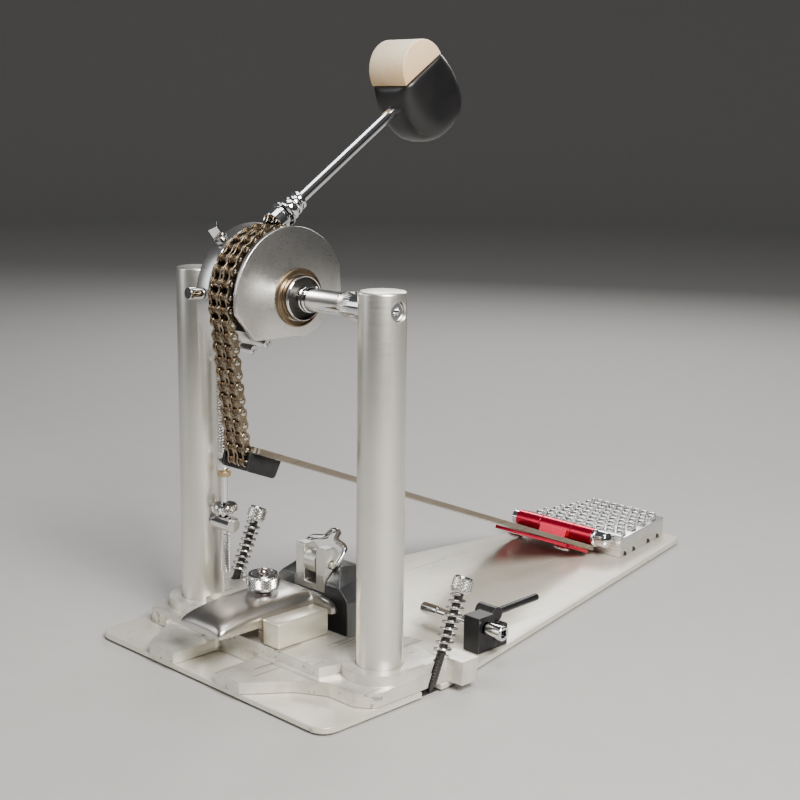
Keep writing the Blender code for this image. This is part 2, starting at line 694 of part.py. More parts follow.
def board_outline():
    """Long taper from the heel end to the toe, with X reversed as the board's frame has it."""
    return rounded([
        (-(HEEL_CENTRE + HEEL_HALF), -3.0, 2.0),
        (-(HEEL_CENTRE - HEEL_HALF), -3.0, 2.0),
        (-(HEEL_CENTRE - HEEL_HALF), 30.0, 20.0),
        (-(TOE_CENTRE - TOE_HALF), BOARD_LENGTH, 2.0),
        (-(TOE_CENTRE + TOE_HALF), BOARD_LENGTH, 2.0),
        (-(HEEL_CENTRE + HEEL_HALF), 30.0, 20.0),
    ])


def build_footboard():
    frame = board_frame()
    half = BOARD_THICK / 2
    board = slab("footboard", board_outline()[::-1], -half, half, frame)
    notch = [(-(CHAIN_HIGH + 1.3), TOE_NOTCH), (-(CHAIN_LOW - 1.3), TOE_NOTCH),
             (-(CHAIN_LOW - 1.3), BOARD_LENGTH + 5), (-(CHAIN_HIGH + 1.3), BOARD_LENGTH + 5)]
    cut(board, slab("toe_notch", notch, -5, 5, frame))
    keep(bevel(board, 0.4, 1), "board")

    leaf_top = -half - GAP
    leaf = slab("hinge_leaf", rounded([
        (-HINGE_RIGHT, 3.0, 1.0), (-HINGE_RIGHT, 25.0, 2.0), (-HINGE_LEFT, 25.0, 2.0), (-HINGE_LEFT, 3.0, 1.0)]),
        leaf_top - 2.2, leaf_top, frame)
    keep(bevel(leaf, 0.4, 1), "red")
    for side, x in (("left", -36.0), ("right", 2.0)):
        base = frame @ Vector((-x * MM, 15.0 * MM, (leaf_top - 2.2 - GAP) * MM)) / MM
        tip = frame @ Vector((-x * MM, 15.0 * MM, (leaf_top - 4.3 - GAP) * MM)) / MM
        bolt = rod(f"leaf_bolt_{side}", base, tip, 5.4, 6)
        keep(bevel(bolt, 0.5, 1), "chrome")

    knuckle = rod("heel_knuckle_centre", (KNUCKLE_CUTS[0] + GAP, HINGE_Y, HINGE_Z),
                  (KNUCKLE_CUTS[1] - GAP, HINGE_Y, HINGE_Z), HINGE_RADIUS, 32)
    low, high = -(KNUCKLE_CUTS[1] - 2.0), -(KNUCKLE_CUTS[0] + 2.0)
    lug = slab("knuckle_lug", [(low, 0), (high, 0), (high, 6.5), (low, 6.5)], half + GAP, BOARD_BELOW_HINGE - 0.5,
               frame)
    join(knuckle, lug)
    cut(knuckle, rod("centre_pin_hole", (-60, HINGE_Y, HINGE_Z), (40, HINGE_Y, HINGE_Z), 2.9, 20))
    keep(knuckle, "red")
    build_toe_bracket(frame)


def build_toe_bracket(frame):
    """Channel under the toe whose two ears stand either side of the chain's last link."""
    top = -BOARD_THICK / 2 - GAP
    ear_front = BOARD_LENGTH + 5.5
    ear = rounded([
        (BOARD_LENGTH - 20.0, top, 0), (BOARD_LENGTH - 19.0, top - 9.5, 2.5), (ear_front, top - 9.5, 2.5),
        (ear_front, top, 1.0)])
    ears_at = frame @ SIDEWAYS
    near, far = -(CHAIN_HIGH + 2.8), -(CHAIN_HIGH + 1.2)
    bracket = slab("toe_bracket", ear, near, far, ears_at)
    other = slab("toe_ear", ear, -(CHAIN_LOW - 1.2), -(CHAIN_LOW - 2.8), ears_at)
    web = slab("toe_web", [(BOARD_LENGTH - 20.0, top), (BOARD_LENGTH - 20.0, top - 1.8), (BOARD_LENGTH - 8.6, top - 1.8),
                           (BOARD_LENGTH - 8.6, top)], near, -(CHAIN_LOW - 2.8), ears_at)
    join(bracket, other, web)
    keep(bracket, "black")


def heel_outline():
    """Heel block seen from above, narrower at the rear."""
    return [(-47.8, HEEL_FRONT), (29.8, HEEL_FRONT), (19.0, HEEL_REAR), (-36.0, HEEL_REAR)]


def build_heel():
    block = slab("heel_block", heel_outline(), PLATE_TOP + GAP, HEEL_TOP)
    keep(bevel(block, 0.4, 1), "satin")
    ends = {"left": (HINGE_LEFT, KNUCKLE_CUTS[0] - GAP), "right": (KNUCKLE_CUTS[1] + GAP, HINGE_RIGHT)}
    for side, (low, high) in ends.items():
        knuckle = rod(f"heel_knuckle_{side}", (low, HINGE_Y, HINGE_Z), (high, HINGE_Y, HINGE_Z), HINGE_RADIUS, 32)
        foot = cuboid(f"foot_{side}", (low, HINGE_Y + 1.5, 10.2), (high, HEEL_FRONT - GAP, HINGE_Z + 1.0))
        join(knuckle, foot)
        cut(knuckle, rod(f"pin_hole_{side}", (-60, HINGE_Y, HINGE_Z), (40, HINGE_Y, HINGE_Z), 2.9, 20))
        keep(knuckle, "red")
    keep(rod("heel_pin", (HINGE_LEFT - 4.8, HINGE_Y, HINGE_Z), (HINGE_RIGHT + 9.5, HINGE_Y, HINGE_Z), 2.5, 20), "chrome")
    nut_left = turned("heel_nut_left", [
        (2.8, 4.4), (4.2, 4.4), (4.8, 3.8), (4.8, 0), (2.8, 0), (2.8, 4.4),
    ], (HINGE_LEFT - GAP, HINGE_Y, HINGE_Z), (HINGE_LEFT - 10, HINGE_Y, HINGE_Z), 12)
    keep(nut_left, "chrome")
    nut_right = turned("heel_nut_right", [
        (0, 12.0), (2.4, 11.4), (4.6, 9.6), (5.2, 7.4), (5.2, 2.0), (5.8, 1.8), (5.8, 0), (2.8, 0), (2.8, 9.8), (0, 9.8),
    ], (HINGE_RIGHT + GAP, HINGE_Y, HINGE_Z), (HINGE_RIGHT + 20, HINGE_Y, HINGE_Z), 24)
    keep(nut_right, "chrome")


# ---------------------------------------------------------------- hoop clamp

def jaw_side():
    """Side outline of the clamp jaw in (y, z): flat grip in front, crowned back, tapered tail."""
    return rounded([
        (-52.5, JAW_LOW, 1.0), (8.8, JAW_LOW, 0), (20.0, 28.4, 1.0), (20.0, 31.4, 1.0), (8.0, 36.6, 8.0),
        (-24.0, 36.8, 14.0), (-44.0, 34.0, 10.0), (-52.5, 28.4, 2.5),
    ])


def build_clamp_jaw():
    """Jaw with a narrow tongue between the guide blocks and wings behind them."""
    jaw = slab("clamp_jaw", jaw_side(), CLAMP_X - WING_HALF, CLAMP_X + WING_HALF, SIDEWAYS)
    for side, sign in (("right", 1), ("left", -1)):
        tongue, wing = CLAMP_X + sign * JAW_HALF, CLAMP_X + sign * WING_HALF
        far = CLAMP_X + sign * 60
        cut(jaw, slab(f"jaw_side_{side}", [(tongue, -70.0), (far, -70.0), (far, 8.9), (tongue, 8.9)], 0, 70),
            slab(f"jaw_tail_{side}", [(wing, 11.0), (far, 0.0), (far, 60.0), (CLAMP_X + sign * 2.0, 30.0),
                                      (wing - sign * 3.0, 17.0)], 0, 70))
    slot = cuboid("jaw_slot", (CLAMP_X - STUD_RADIUS - 0.7, STUD_Y - 5.0, 10), (CLAMP_X + STUD_RADIUS + 0.7, STUD_Y + 5.0, 60))
    cut(jaw, slot)
    keep(bevel(jaw, 0.8, 1, 50), "cast")


def build_clamp():
    build_clamp_jaw()
    stud = turned("clamp_stud", [
        (0, 40.6), (1.6, 40.2), (2.7, 39.2), (STUD_RADIUS, 38.0), (STUD_RADIUS, 0), (0, 0),
    ], (CLAMP_X, STUD_Y, 8.6), (CLAMP_X, STUD_Y, 50), 20)
    keep(stud, "chrome")
    height = KNOB_HIGH - KNOB_LOW
    knob = turned("clamp_knob", [
        (STUD_RADIUS + GAP, height), (KNOB_RADIUS - 1.0, height), (KNOB_RADIUS, height - 1.0), (KNOB_RADIUS, 1.0),
        (KNOB_RADIUS - 1.0, 0), (STUD_RADIUS + GAP, 0), (STUD_RADIUS + GAP, height),
    ], (CLAMP_X, STUD_Y, KNOB_LOW), (CLAMP_X, STUD_Y, KNOB_HIGH), 40)
    middle = (KNOB_LOW + KNOB_HIGH) / 2
    turn = math.radians(-112)
    far = (CLAMP_X + 20 * math.cos(turn), STUD_Y + 20 * math.sin(turn), middle)
    near = (CLAMP_X + 4.6 * math.cos(turn), STUD_Y + 4.6 * math.sin(turn), middle)
    cut(knob, rod("tommy_hole", near, far, 1.9, 16))
    keep(knob, "chrome")

    housing_side = rounded([
        (20.9, PLATE_TOP + GAP, 0), (20.9, 36.0, 2.0), (30.0, 44.0, 5.0), (46.0, 42.0, 8.0),
        (56.0, PLATE_TOP + 9, 4.0), (56.0, PLATE_TOP + GAP, 0),
    ], 4)
    housing = slab("clamp_housing", housing_side, CLAMP_X - 29.0, CLAMP_X + 29.0, SIDEWAYS)
    outline = rounded([
        (CLAMP_X - 29, PLATE_TOP - 2, 0), (CLAMP_X + 29, PLATE_TOP - 2, 0), (CLAMP_X + 29, 30.0, 6.0),
        (CLAMP_X + 12, 46.0, 8.0), (CLAMP_X - 12, 46.0, 8.0), (CLAMP_X - 29, 30.0, 6.0)], 4)
    front = Matrix(((1, 0, 0, 0), (0, 0, -1, 0), (0, 1, 0, 0), (0, 0, 0, 1)))
    combine(housing, [slab("housing_front", outline, -90, 0, front)], 'INTERSECT')
    cut(housing, cuboid("clevis_seat", (CLAMP_X - 11.8, 10, 30.0), (CLAMP_X + 11.8, 33.2, 60)))
    keep(bevel(housing, 1.0, 1, 50), "dark_cast")
    build_lever()


def build_lever():
    """Two-eared bracket, the cam between its ears and the wire loop that turns it."""
    ear = rounded([(21.2, 30.4, 0), (33.0, 30.4, 0), (33.0, 48.0, 5.0), (29.0, 54.0, 2.5), (21.2, 54.0, 1.0)])
    bracket = slab("lever_bracket", ear, CLAMP_X - 11.3, CLAMP_X - 4.6, SIDEWAYS)
    right_ear = slab("bracket_ear", ear, CLAMP_X + 4.6, CLAMP_X + 11.3, SIDEWAYS)
    foot = cuboid("bracket_foot", (CLAMP_X - 11.3, 21.2, 30.4), (CLAMP_X + 11.3, 33.0, 34.0))
    join(bracket, right_ear, foot)
    cut(bracket, rod("lever_pin_hole", (-60, LEVER_Y, LEVER_Z), (60, LEVER_Y, LEVER_Z), 2.1, 16))
    keep(bracket, "satin")
    cam = slab("lever_cam", arc((LEVER_Y, LEVER_Z), 6.2, 0, 360, 24)[:-1], CLAMP_X - 4.2, CLAMP_X + 4.2, SIDEWAYS)
    join(cam, rod("lever_pin", (CLAMP_X - 13.0, LEVER_Y, LEVER_Z), (CLAMP_X + 13.0, LEVER_Y, LEVER_Z), 1.8, 16))
    keep(cam, "satin")
    tip_y, tip_z = LEVER_Y + 13.0, LEVER_Z + 12.2
    loop = [
        (CLAMP_X - 14.6, LEVER_Y + 0.3, LEVER_Z + 0.3), (CLAMP_X - 14.6, LEVER_Y + 7.5, LEVER_Z + 7.6),
        (CLAMP_X - 12.5, LEVER_Y + 9.3, LEVER_Z + 9.2), (CLAMP_X - 4.0, LEVER_Y + 11.5, LEVER_Z + 11.0),
        (CLAMP_X - 2.5, tip_y, tip_z), (CLAMP_X + 4.5, tip_y, tip_z), (CLAMP_X + 6.0, LEVER_Y + 11.5, LEVER_Z + 11.0),
        (CLAMP_X + 12.5, LEVER_Y + 9.3, LEVER_Z + 9.2), (CLAMP_X + 14.6, LEVER_Y + 7.5, LEVER_Z + 7.6),
        (CLAMP_X + 14.6, LEVER_Y + 0.3, LEVER_Z + 0.3),
    ]
    keep(wire("clamp_lever", loop, 1.5, 2), "chrome")


# ---------------------------------------------------------------- spurs, spring and keys

def build_spurs():
    """Anchor spurs: leaning pointed screws with knurled heads, each with a spring under its head."""
    a = math.radians(SPUR_LEAN)
    for side, (x, y) in (("right", SPUR_RIGHT), ("left", SPUR_LEFT)):
        def at(distance):
            return x, y + distance * math.sin(a), BLOCK_TOP + distance * math.cos(a)
        spur = turned(f"spur_{side}", [
            (0, 58.4), (4.4, 58.4), (5.3, 57.5), (5.3, 50.8), (4.6, 50.0), (2.2, 50.0), (2.2, 4.2), (0.4, 0), (0, 0),
        ], at(-15.8), at(60), 28)
        keep(spur, "chrome")
        spring = turned(f"spur_spring_{side}", [
            (2.7, 31.8), (4.6, 31.8), (4.6, 0), (2.7, 0), (2.7, 31.8),
        ], at(2.3), at(60), 20)
        keep(spring, "spring")


def build_return_spring():
    """Coil spring from the crank's pin to an eye rod, whose nut pulls it down through a swivel."""
    pin_z = AXLE_Z - CRANK_RADIUS
    spring = rod("return_spring", (SPRING_X, 0, 101.0), (SPRING_X, 0, 152.0), 3.6, 20)
    join(spring, rod("spring_hook_top", (SPRING_X, 0, 150.0), (SPRING_X, 0, pin_z - 2.1), 0.9, 10),
         rod("spring_hook_low", (SPRING_X, 0, 97.6), (SPRING_X, 0, 103.0), 0.9, 10))
    keep(spring, "spring")
    eye = turned("tension_rod", [
        (0, 63.6), (3.2, 62.9), (3.6, 60.0), (3.2, 57.6), (1.9, 56.0), (1.9, 22.0), (2.4, 21.6), (2.4, 0.6), (1.9, 0), (0, 0),
    ], (SPRING_X, 0, 33.6), (SPRING_X, 0, 60), 20)
    keep(eye, "spring")
    swivel = rod("spring_swivel", (-66.0, 0, SWIVEL_Z), (SPRING_X - 5.0, 0, SWIVEL_Z), 3.3, 24)
    join(swivel, rod("swivel_head", (-57.3, 0, SWIVEL_Z), (-42.0, 0, SWIVEL_Z), 4.3, 28))
    cut(swivel, rod("swivel_hole", (SPRING_X, 0, 40), (SPRING_X, 0, 80), 2.7, 20))
    keep(swivel, "chrome")
    nut = turned("tension_nut", [
        (2.2, 5.4), (6.4, 5.4), (7.0, 4.8), (7.0, 1.4), (6.4, 0.9), (3.4, 0.8), (3.0, 0), (2.2, 0), (2.2, 5.4),
    ], (SPRING_X, 0, 66.6), (SPRING_X, 0, 90), 32)
    keep(nut, "chrome")


def build_keys():
    """Black holder on the plate with the drum key through it, and a hex key in its back."""
    holder = cuboid("key_holder", (66.0, KEY_Y - 5.8, PLATE_TOP + GAP), (76.5, KEY_Y + 6.2, KEY_Z + 6.2))
    join(holder, cuboid("holder_foot", (66.0, KEY_Y + 4.0, PLATE_TOP + GAP), (76.5, KEY_Y + 17.0, 9.0)),
         cuboid("holder_post", (60.0, KEY_Y + 8.4, PLATE_TOP + GAP), (76.5, KEY_Y + 17.0, KEY_Z - 1.4)))
    cut(holder, rod("key_bore", (50, KEY_Y, KEY_Z), (90, KEY_Y, KEY_Z), 3.3, 20))
    keep(bevel(holder, 0.5, 1), "black")
    key = turned("drum_key", [
        (0, 57.0), (2.6, 57.0), (3.0, 56.4), (3.0, 45.6), (2.5, 45.0), (2.5, 10.8), (3.9, 10.0), (3.9, 0.5), (3.5, 0),
        (0, 0),
    ], (88.5, KEY_Y, KEY_Z), (20.0, KEY_Y, KEY_Z), 28)
    cut(key, cuboid("key_square", (81.0, KEY_Y - 1.95, KEY_Z - 1.95), (99.0, KEY_Y + 1.95, KEY_Z + 1.95)))
    keep(key, "chrome")
    hub_y, hub_z = KEY_Y + 13.0, KEY_Z + 3.0
    hexkey = rod("hex_key", (60.5, hub_y, hub_z), (72.5, hub_y, hub_z), 4.1, 24)
    join(hexkey, rod("hex_arm", (69.5, hub_y, hub_z), (69.5, hub_y + 36.0, hub_z + 0.5), 2.0, 12))
    keep(hexkey, "black")


# ---------------------------------------------------------------- assembly

build_base()
build_frame_block()
build_posts()
build_axle()
build_cam()
build_set_screws()
build_spring_crank()
build_beater_collar()
build_beater()
build_chain()
build_footboard()
build_heel()
build_clamp()
build_spurs()
build_return_spring()
build_keys()
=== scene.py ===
"""Looks of a bass drum pedal with a double chain drive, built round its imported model."""

import logging
import math
from dataclasses import dataclass, field
from enum import Enum
from typing import Callable, Iterable, Sequence

import bmesh
import bpy
from mathutils import Matrix, Vector


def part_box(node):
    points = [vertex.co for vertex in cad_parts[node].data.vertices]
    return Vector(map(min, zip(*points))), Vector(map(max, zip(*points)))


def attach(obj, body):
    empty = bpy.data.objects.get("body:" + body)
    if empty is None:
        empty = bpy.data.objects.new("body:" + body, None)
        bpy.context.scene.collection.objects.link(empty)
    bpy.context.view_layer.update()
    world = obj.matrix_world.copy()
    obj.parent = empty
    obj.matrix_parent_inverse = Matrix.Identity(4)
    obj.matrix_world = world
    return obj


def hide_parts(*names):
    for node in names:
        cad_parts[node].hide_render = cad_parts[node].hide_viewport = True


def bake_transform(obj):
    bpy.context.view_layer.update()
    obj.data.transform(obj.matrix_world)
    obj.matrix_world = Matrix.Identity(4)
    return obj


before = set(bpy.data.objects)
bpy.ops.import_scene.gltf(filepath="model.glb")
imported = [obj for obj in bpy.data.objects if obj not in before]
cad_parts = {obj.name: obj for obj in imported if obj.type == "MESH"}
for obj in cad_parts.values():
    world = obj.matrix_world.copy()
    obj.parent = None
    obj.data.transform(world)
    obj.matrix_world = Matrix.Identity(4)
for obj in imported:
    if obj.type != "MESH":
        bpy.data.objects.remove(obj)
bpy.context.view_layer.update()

Colour = tuple[float, float, float]
Point = tuple[float, float, float]
Flat = tuple[float, float]
Place = Callable[[float, float, float], Point]

MM = 0.001
# A length below this counts as none.
NOTHING = 1e-6
# Edges sharper than this are eased and stay crisp on recut pieces.
CREASE = math.radians(35)
AXLE_Z = 188.9
AXLE_LINE = ((0, 0, AXLE_Z), (1, 0, AXLE_Z))
AXLE_BORE = 5.8
# Socket numbers of the Mix node when it mixes colours.
MIX_FACTOR, MIX_FIRST, MIX_SECOND, MIX_RESULT = 0, 6, 7, 2
LOG = logging.getLogger("pedal")


# ------------------------------------------------------------------ shader groups

class Grain(Enum):
    """Which way a finish was brushed: how its noise is stretched along X, Y and Z."""

    NONE = (1.0, 1.0, 1.0)
    ALONG_X = (0.03, 1.0, 1.0)
    ALONG_Y = (1.0, 0.03, 1.0)
    AROUND_Z = (0.04, 0.04, 1.0)


@dataclass
class Wiring:
    """Short way to add and join the nodes of one tree."""

    tree: bpy.types.NodeTree

    def add(self, kind: str, **settings: object) -> bpy.types.Node:
        """Add a node.

        Args:
            kind: The node's type name.
            settings: Attributes to set on it.
        Returns:
            The new node.
        """
        node = self.tree.nodes.new(kind)
        for name, value in settings.items():
            setattr(node, name, value)
        return node

    def join(self, socket: bpy.types.NodeSocket, value: object) -> None:
        """Link an input to an output socket, or set its value.

        Args:
            socket: The input.
            value: An output socket or a plain value.
        """
        if isinstance(value, bpy.types.NodeSocket):
            self.tree.links.new(value, socket)
        else:
            socket.default_value = value

    def object_place(self) -> bpy.types.NodeSocket:
        """Position on the object, which the textures are laid out in."""
        return self.add("ShaderNodeTexCoord").outputs["Object"]

    def feed(self, node: bpy.types.Node, **inputs: object) -> bpy.types.Node:
        """Set or link a node's inputs.

        Args:
            node: The node to feed.
            inputs: Values or output sockets, keyed by input name with _ for a space.
        Returns:
            The same node.
        """
        for name, value in inputs.items():
            self.join(node.inputs[name.replace("_", " ")], value)
        return node

    def math(self, operation: str, first: object, second: object = 0.0,
             clamp: bool = False) -> bpy.types.NodeSocket:
        """Do one sum.

        Args:
            operation: The Math node's operation.
            first: Value or socket.
            second: Value or socket.
            clamp: Keep the result between 0 and 1.
        Returns:
            The result's socket.
        """
        node = self.add("ShaderNodeMath", operation=operation, use_clamp=clamp)
        for socket, value in zip(node.inputs, (first, second)):
            self.join(socket, value)
        return node.outputs[0]

    def blend(self, factor: object, first: object, second: object) -> bpy.types.NodeSocket:
        """Mix two colours.

        Args:
            factor: Value or socket, 0 for the first colour.
            first: Colour or socket.
            second: Colour or socket.
        Returns:
            The mixed colour's socket.
        """
        node = self.add("ShaderNodeMix", data_type="RGBA")
        self.join(node.inputs[MIX_FACTOR], factor)
        for index, colour in ((MIX_FIRST, first), (MIX_SECOND, second)):
            linked = isinstance(colour, bpy.types.NodeSocket)
            self.join(node.inputs[index], colour if linked else (*colour[:3], 1.0))
        return node.outputs[MIX_RESULT]


class EffectGroups:
    """Shader groups that the finishes share. Each is built once and puts out masks only."""

    @staticmethod
    def start(name: str, inputs: dict[str, float | Point],
              outputs: Sequence[str]) -> tuple[Wiring, dict[str, bpy.types.NodeSocket], bpy.types.Node]:
        """Make an empty group.

        Args:
            name: The group's name.
            inputs: Default value for each named input.
            outputs: Names of its value outputs.
        Returns:
            Its wiring, its input sockets by name and its output node.
        """
        tree = bpy.data.node_groups.new(name, "ShaderNodeTree")
        for label, value in inputs.items():
            kind = "NodeSocketVector" if isinstance(value, tuple) else "NodeSocketFloat"
            tree.interface.new_socket(label, in_out="INPUT", socket_type=kind).default_value = value
        for label in outputs:
            tree.interface.new_socket(label, in_out="OUTPUT", socket_type="NodeSocketFloat")
        wiring = Wiring(tree)
        source = wiring.add("NodeGroupInput")
        return wiring, {s.name: s for s in source.outputs}, wiring.add("NodeGroupOutput")

    @classmethod
    def grain(cls) -> bpy.types.NodeTree:
        """Fine noise stretched along the brushing direction.

        Returns:
            The group's tree.
        """
        wiring, given, out = cls.start(
            "brushed_grain", {"Stretch": (1.0, 1.0, 1.0), "Scale": 900.0}, ["Value"])
        place = wiring.object_place()
        stretched = wiring.add("ShaderNodeVectorMath", operation="MULTIPLY")
        wiring.join(stretched.inputs[0], place)
        wiring.join(stretched.inputs[1], given["Stretch"])
        noise = wiring.add("ShaderNodeTexNoise")
        wiring.feed(noise, Vector=stretched.outputs[0], Scale=given["Scale"], Detail=5.0, Roughness=0.65)
        wiring.feed(out, Value=noise.outputs[0])
        return wiring.tree

    @classmethod
    def mottle(cls) -> bpy.types.NodeTree:
        """Soft patches between two thresholds, for stains, handling marks and cast skin.

        Returns:
            The group's tree.
        """
        wiring, given, out = cls.start("handling_mottle", {"Scale": 60.0, "Low": 0.4, "High": 0.7}, ["Mask"])
        noise = wiring.add("ShaderNodeTexNoise")
        wiring.feed(noise, Vector=wiring.object_place(), Scale=given["Scale"],
                    Detail=7.0, Roughness=0.6, Distortion=0.4)
        ramp = wiring.add("ShaderNodeMapRange")
        wiring.feed(ramp, Value=noise.outputs[0], From_Min=given["Low"], From_Max=given["High"])
        wiring.feed(out, Mask=ramp.outputs[0])
        return wiring.tree

    @classmethod
    def edges(cls) -> bpy.types.NodeTree:
        """Mask that is high along edges and broken up by noise. Finishes mix their edge colour in with it:
        lighter edge colours are painted edge highlights, darker ones painted edge shade, and some also stand
        for real edge wear.

        Returns:
            The group's tree.
        """
        wiring, given, out = cls.start("edge_wear_and_light", {"Radius": 0.0006, "Break Up": 0.5}, ["Mask"])
        soft = wiring.add("ShaderNodeBevel", samples=6)
        wiring.feed(soft, Radius=given["Radius"])
        along = wiring.add("ShaderNodeVectorMath", operation="DOT_PRODUCT")
        wiring.join(along.inputs[0], soft.outputs[0])
        wiring.join(along.inputs[1], wiring.add("ShaderNodeNewGeometry").outputs["Normal"])
        bent = wiring.math("SUBTRACT", 1.0, along.outputs["Value"])
        noise = wiring.add("ShaderNodeTexNoise")
        wiring.feed(noise, Vector=wiring.object_place(), Scale=350.0, Detail=4.0)
        gain = wiring.math("MULTIPLY", bent, 9.0)
        broken = wiring.math("MULTIPLY", wiring.math("SUBTRACT", noise.outputs[0], 0.35), given["Break Up"])
        wiring.feed(out, Mask=wiring.math("SUBTRACT", gain, broken, clamp=True))
        return wiring.tree

    @classmethod
    def scratches(cls) -> bpy.types.NodeTree:
        """Sparse fine scratches that run in mixed directions.

        Returns:
            The group's tree.
        """
        wiring, given, out = cls.start("fine_scratches", {"Scale": 260.0, "Threshold": 0.665}, ["Mask"])
        place = wiring.object_place()
        found = []
        for angle in (0.5, 2.1):
            turned = wiring.add("ShaderNodeMapping")
            wiring.feed(turned, Vector=place, Rotation=(0.1, 0.0, angle), Scale=(1.0, 0.07, 1.0))
            streak = wiring.add("ShaderNodeTexNoise")
            wiring.feed(streak, Vector=turned.outputs[0], Scale=given["Scale"], Detail=2.0, Roughness=0.4)
            found.append(wiring.math("GREATER_THAN", streak.outputs[0], given["Threshold"]))
        patch = wiring.add("ShaderNodeTexNoise")
        wiring.feed(patch, Vector=place, Scale=55.0, Detail=3.0)
        worn = wiring.math("GREATER_THAN", patch.outputs[0], 0.5)
        wiring.feed(out, Mask=wiring.math("MULTIPLY", wiring.math("MAXIMUM", *found), worn))
        return wiring.tree

    @classmethod
    def get(cls, name: str) -> bpy.types.NodeTree:
        """Find a group by its method's name, and build it the first time.

        Args:
            name: One of grain, mottle, edges and scratches.
        Returns:
            The group's tree.
        """
        built = {"grain": "brushed_grain", "mottle": "handling_mottle", "edges": "edge_wear_and_light",
                 "scratches": "fine_scratches"}[name]
        return bpy.data.node_groups.get(built) or getattr(cls, name)()


# ------------------------------------------------------------------ finishes

@dataclass(frozen=True)
class Finish:
    """One finish: two colours, a roughness range, brushing, relief and an edge colour that is partly real
    edge wear and partly painted edge highlight and shade.
    """

    name: str
    colour: Colour
    shade: Colour
    metallic: float
    smooth: float
    rough: float
    grain: Grain = Grain.NONE
    grain_scale: float = 900.0
    mottle_scale: float = 60.0
    mottle: float = 0.5
    relief: float = 0.02
    # Edge colour: lighter ones are painted edge highlights, the darker ones of PLATE and CAST are painted
    # shade along edges, and on some finishes it also stands for real edge wear.
    worn: Colour | None = None
    edge_band_width: float = 0.5
    scratched: float = 0.0
    coat: float = 0.0

    def effect(self, wiring: Wiring, name: str, **inputs: object) -> bpy.types.NodeSocket:
        """Place a shared group.

        Args:
            wiring: The material's wiring.
            name: The group's short name.
            inputs: Its inputs.
        Returns:
            Its first output.
        """
        node = wiring.add("ShaderNodeGroup")
        node.node_tree = EffectGroups.get(name)
        wiring.feed(node, **inputs)
        return node.outputs[0]

    def tint(self, wiring: Wiring) -> bpy.types.NodeSocket:
        """Base colour: the finish's colour with patches of its shade.

        Args:
            wiring: The material's wiring.
        Returns:
            The colour's socket.
        """
        patches = self.effect(wiring, "mottle", Scale=self.mottle_scale)
        return wiring.blend(wiring.math("MULTIPLY", patches, self.mottle), self.colour, self.shade)

    def material(self) -> bpy.types.Material:
        """The finish's material, made the first time it is asked for.

        Returns:
            The material.
        """
        ready = bpy.data.materials.get(self.name)
        if ready:
            return ready
        material = bpy.data.materials.new(self.name)
        material.use_nodes = True
        wiring = Wiring(material.node_tree)
        shader = material.node_tree.nodes["Principled BSDF"]
        fine = self.effect(wiring, "grain", Stretch=self.grain.value, Scale=self.grain_scale)
        colour = self.tint(wiring)
        span = self.rough - self.smooth
        roughness = wiring.math("ADD", wiring.math("MULTIPLY", fine, span), self.smooth)
        # Edge colour along edges: painted edge highlight and painted edge shade, partly real edge wear.
        if self.worn:
            mask = self.effect(wiring, "edges", Radius=self.edge_band_width * MM)
            colour = wiring.blend(mask, colour, self.worn)
        if self.scratched:
            mask = wiring.math("MULTIPLY", self.effect(wiring, "scratches"), self.scratched)
            colour = wiring.blend(mask, colour, self.shade)
            roughness = wiring.math("ADD", roughness, wiring.math("MULTIPLY", mask, 0.2), clamp=True)
        wiring.feed(shader, Base_Color=colour, Roughness=roughness)
        if self.relief:
            bump = wiring.add("ShaderNodeBump")
            wiring.feed(bump, Height=fine, Strength=0.5, Distance=self.relief * MM)
            wiring.feed(shader, Normal=bump.outputs[0])
        shader.inputs["Metallic"].default_value = self.metallic
        shader.inputs["Coat Weight"].default_value = self.coat
        shader.inputs["Coat Roughness"].default_value = 0.12
        material.diffuse_color = (*self.colour, 1.0)
        return material


@dataclass(frozen=True)
class PadFinish(Finish):
    """Cream beater pad that darkens to tan towards the jacket."""

    low: float = 0.290
    high: float = 0.316

    def tint(self, wiring: Wiring) -> bpy.types.NodeSocket:
        """Cream above and tan below, with soft patches.

        Args:
            wiring: The material's wiring.
        Returns:
            The colour's socket.
        """
        parts = wiring.add("ShaderNodeSeparateXYZ")
        wiring.feed(parts, Vector=wiring.object_place())
        ramp = wiring.add("ShaderNodeMapRange")
        wiring.feed(ramp, Value=parts.outputs[2], From_Min=self.low, From_Max=self.high,
                    To_Min=1.0, To_Max=0.0)
        patches = self.effect(wiring, "mottle", Scale=self.mottle_scale)
        mixed = wiring.math("ADD", ramp.outputs[0], wiring.math("MULTIPLY", patches, 0.25), clamp=True)
        return wiring.blend(mixed, self.colour, self.shade)


# Where a finish below gives an edge colour, it is mostly painted light: lighter ones are painted edge
# highlights, and the darker ones of PLATE and CAST are painted shade along edges.
PLATE = Finish("cream_plate", (0.86, 0.83, 0.74), (0.70, 0.65, 0.53), 0.45, 0.22, 0.38, Grain.ALONG_Y,
               300.0, 26.0, 0.55, 0.004, (0.55, 0.54, 0.52), 0.45, 0.35, 0.1)
SATIN = Finish("satin_aluminium", (0.88, 0.865, 0.81), (0.76, 0.73, 0.65), 0.95, 0.27, 0.42,
               Grain.AROUND_Z, 1300.0, 30.0, 0.4, 0.006, (0.95, 0.95, 0.93), 0.3)
DISC = Finish("turned_aluminium", (0.80, 0.79, 0.77), (0.62, 0.60, 0.57), 1.0, 0.22, 0.36, Grain.ALONG_X,
              1200.0, 45.0, 0.45, 0.004, (0.95, 0.95, 0.94), 0.3)
CAST = Finish("cast_block", (0.82, 0.80, 0.73), (0.42, 0.40, 0.36), 0.6, 0.26, 0.46, Grain.NONE,
              1200.0, 85.0, 0.5, 0.012, (0.48, 0.47, 0.45), 0.5, 0.9)
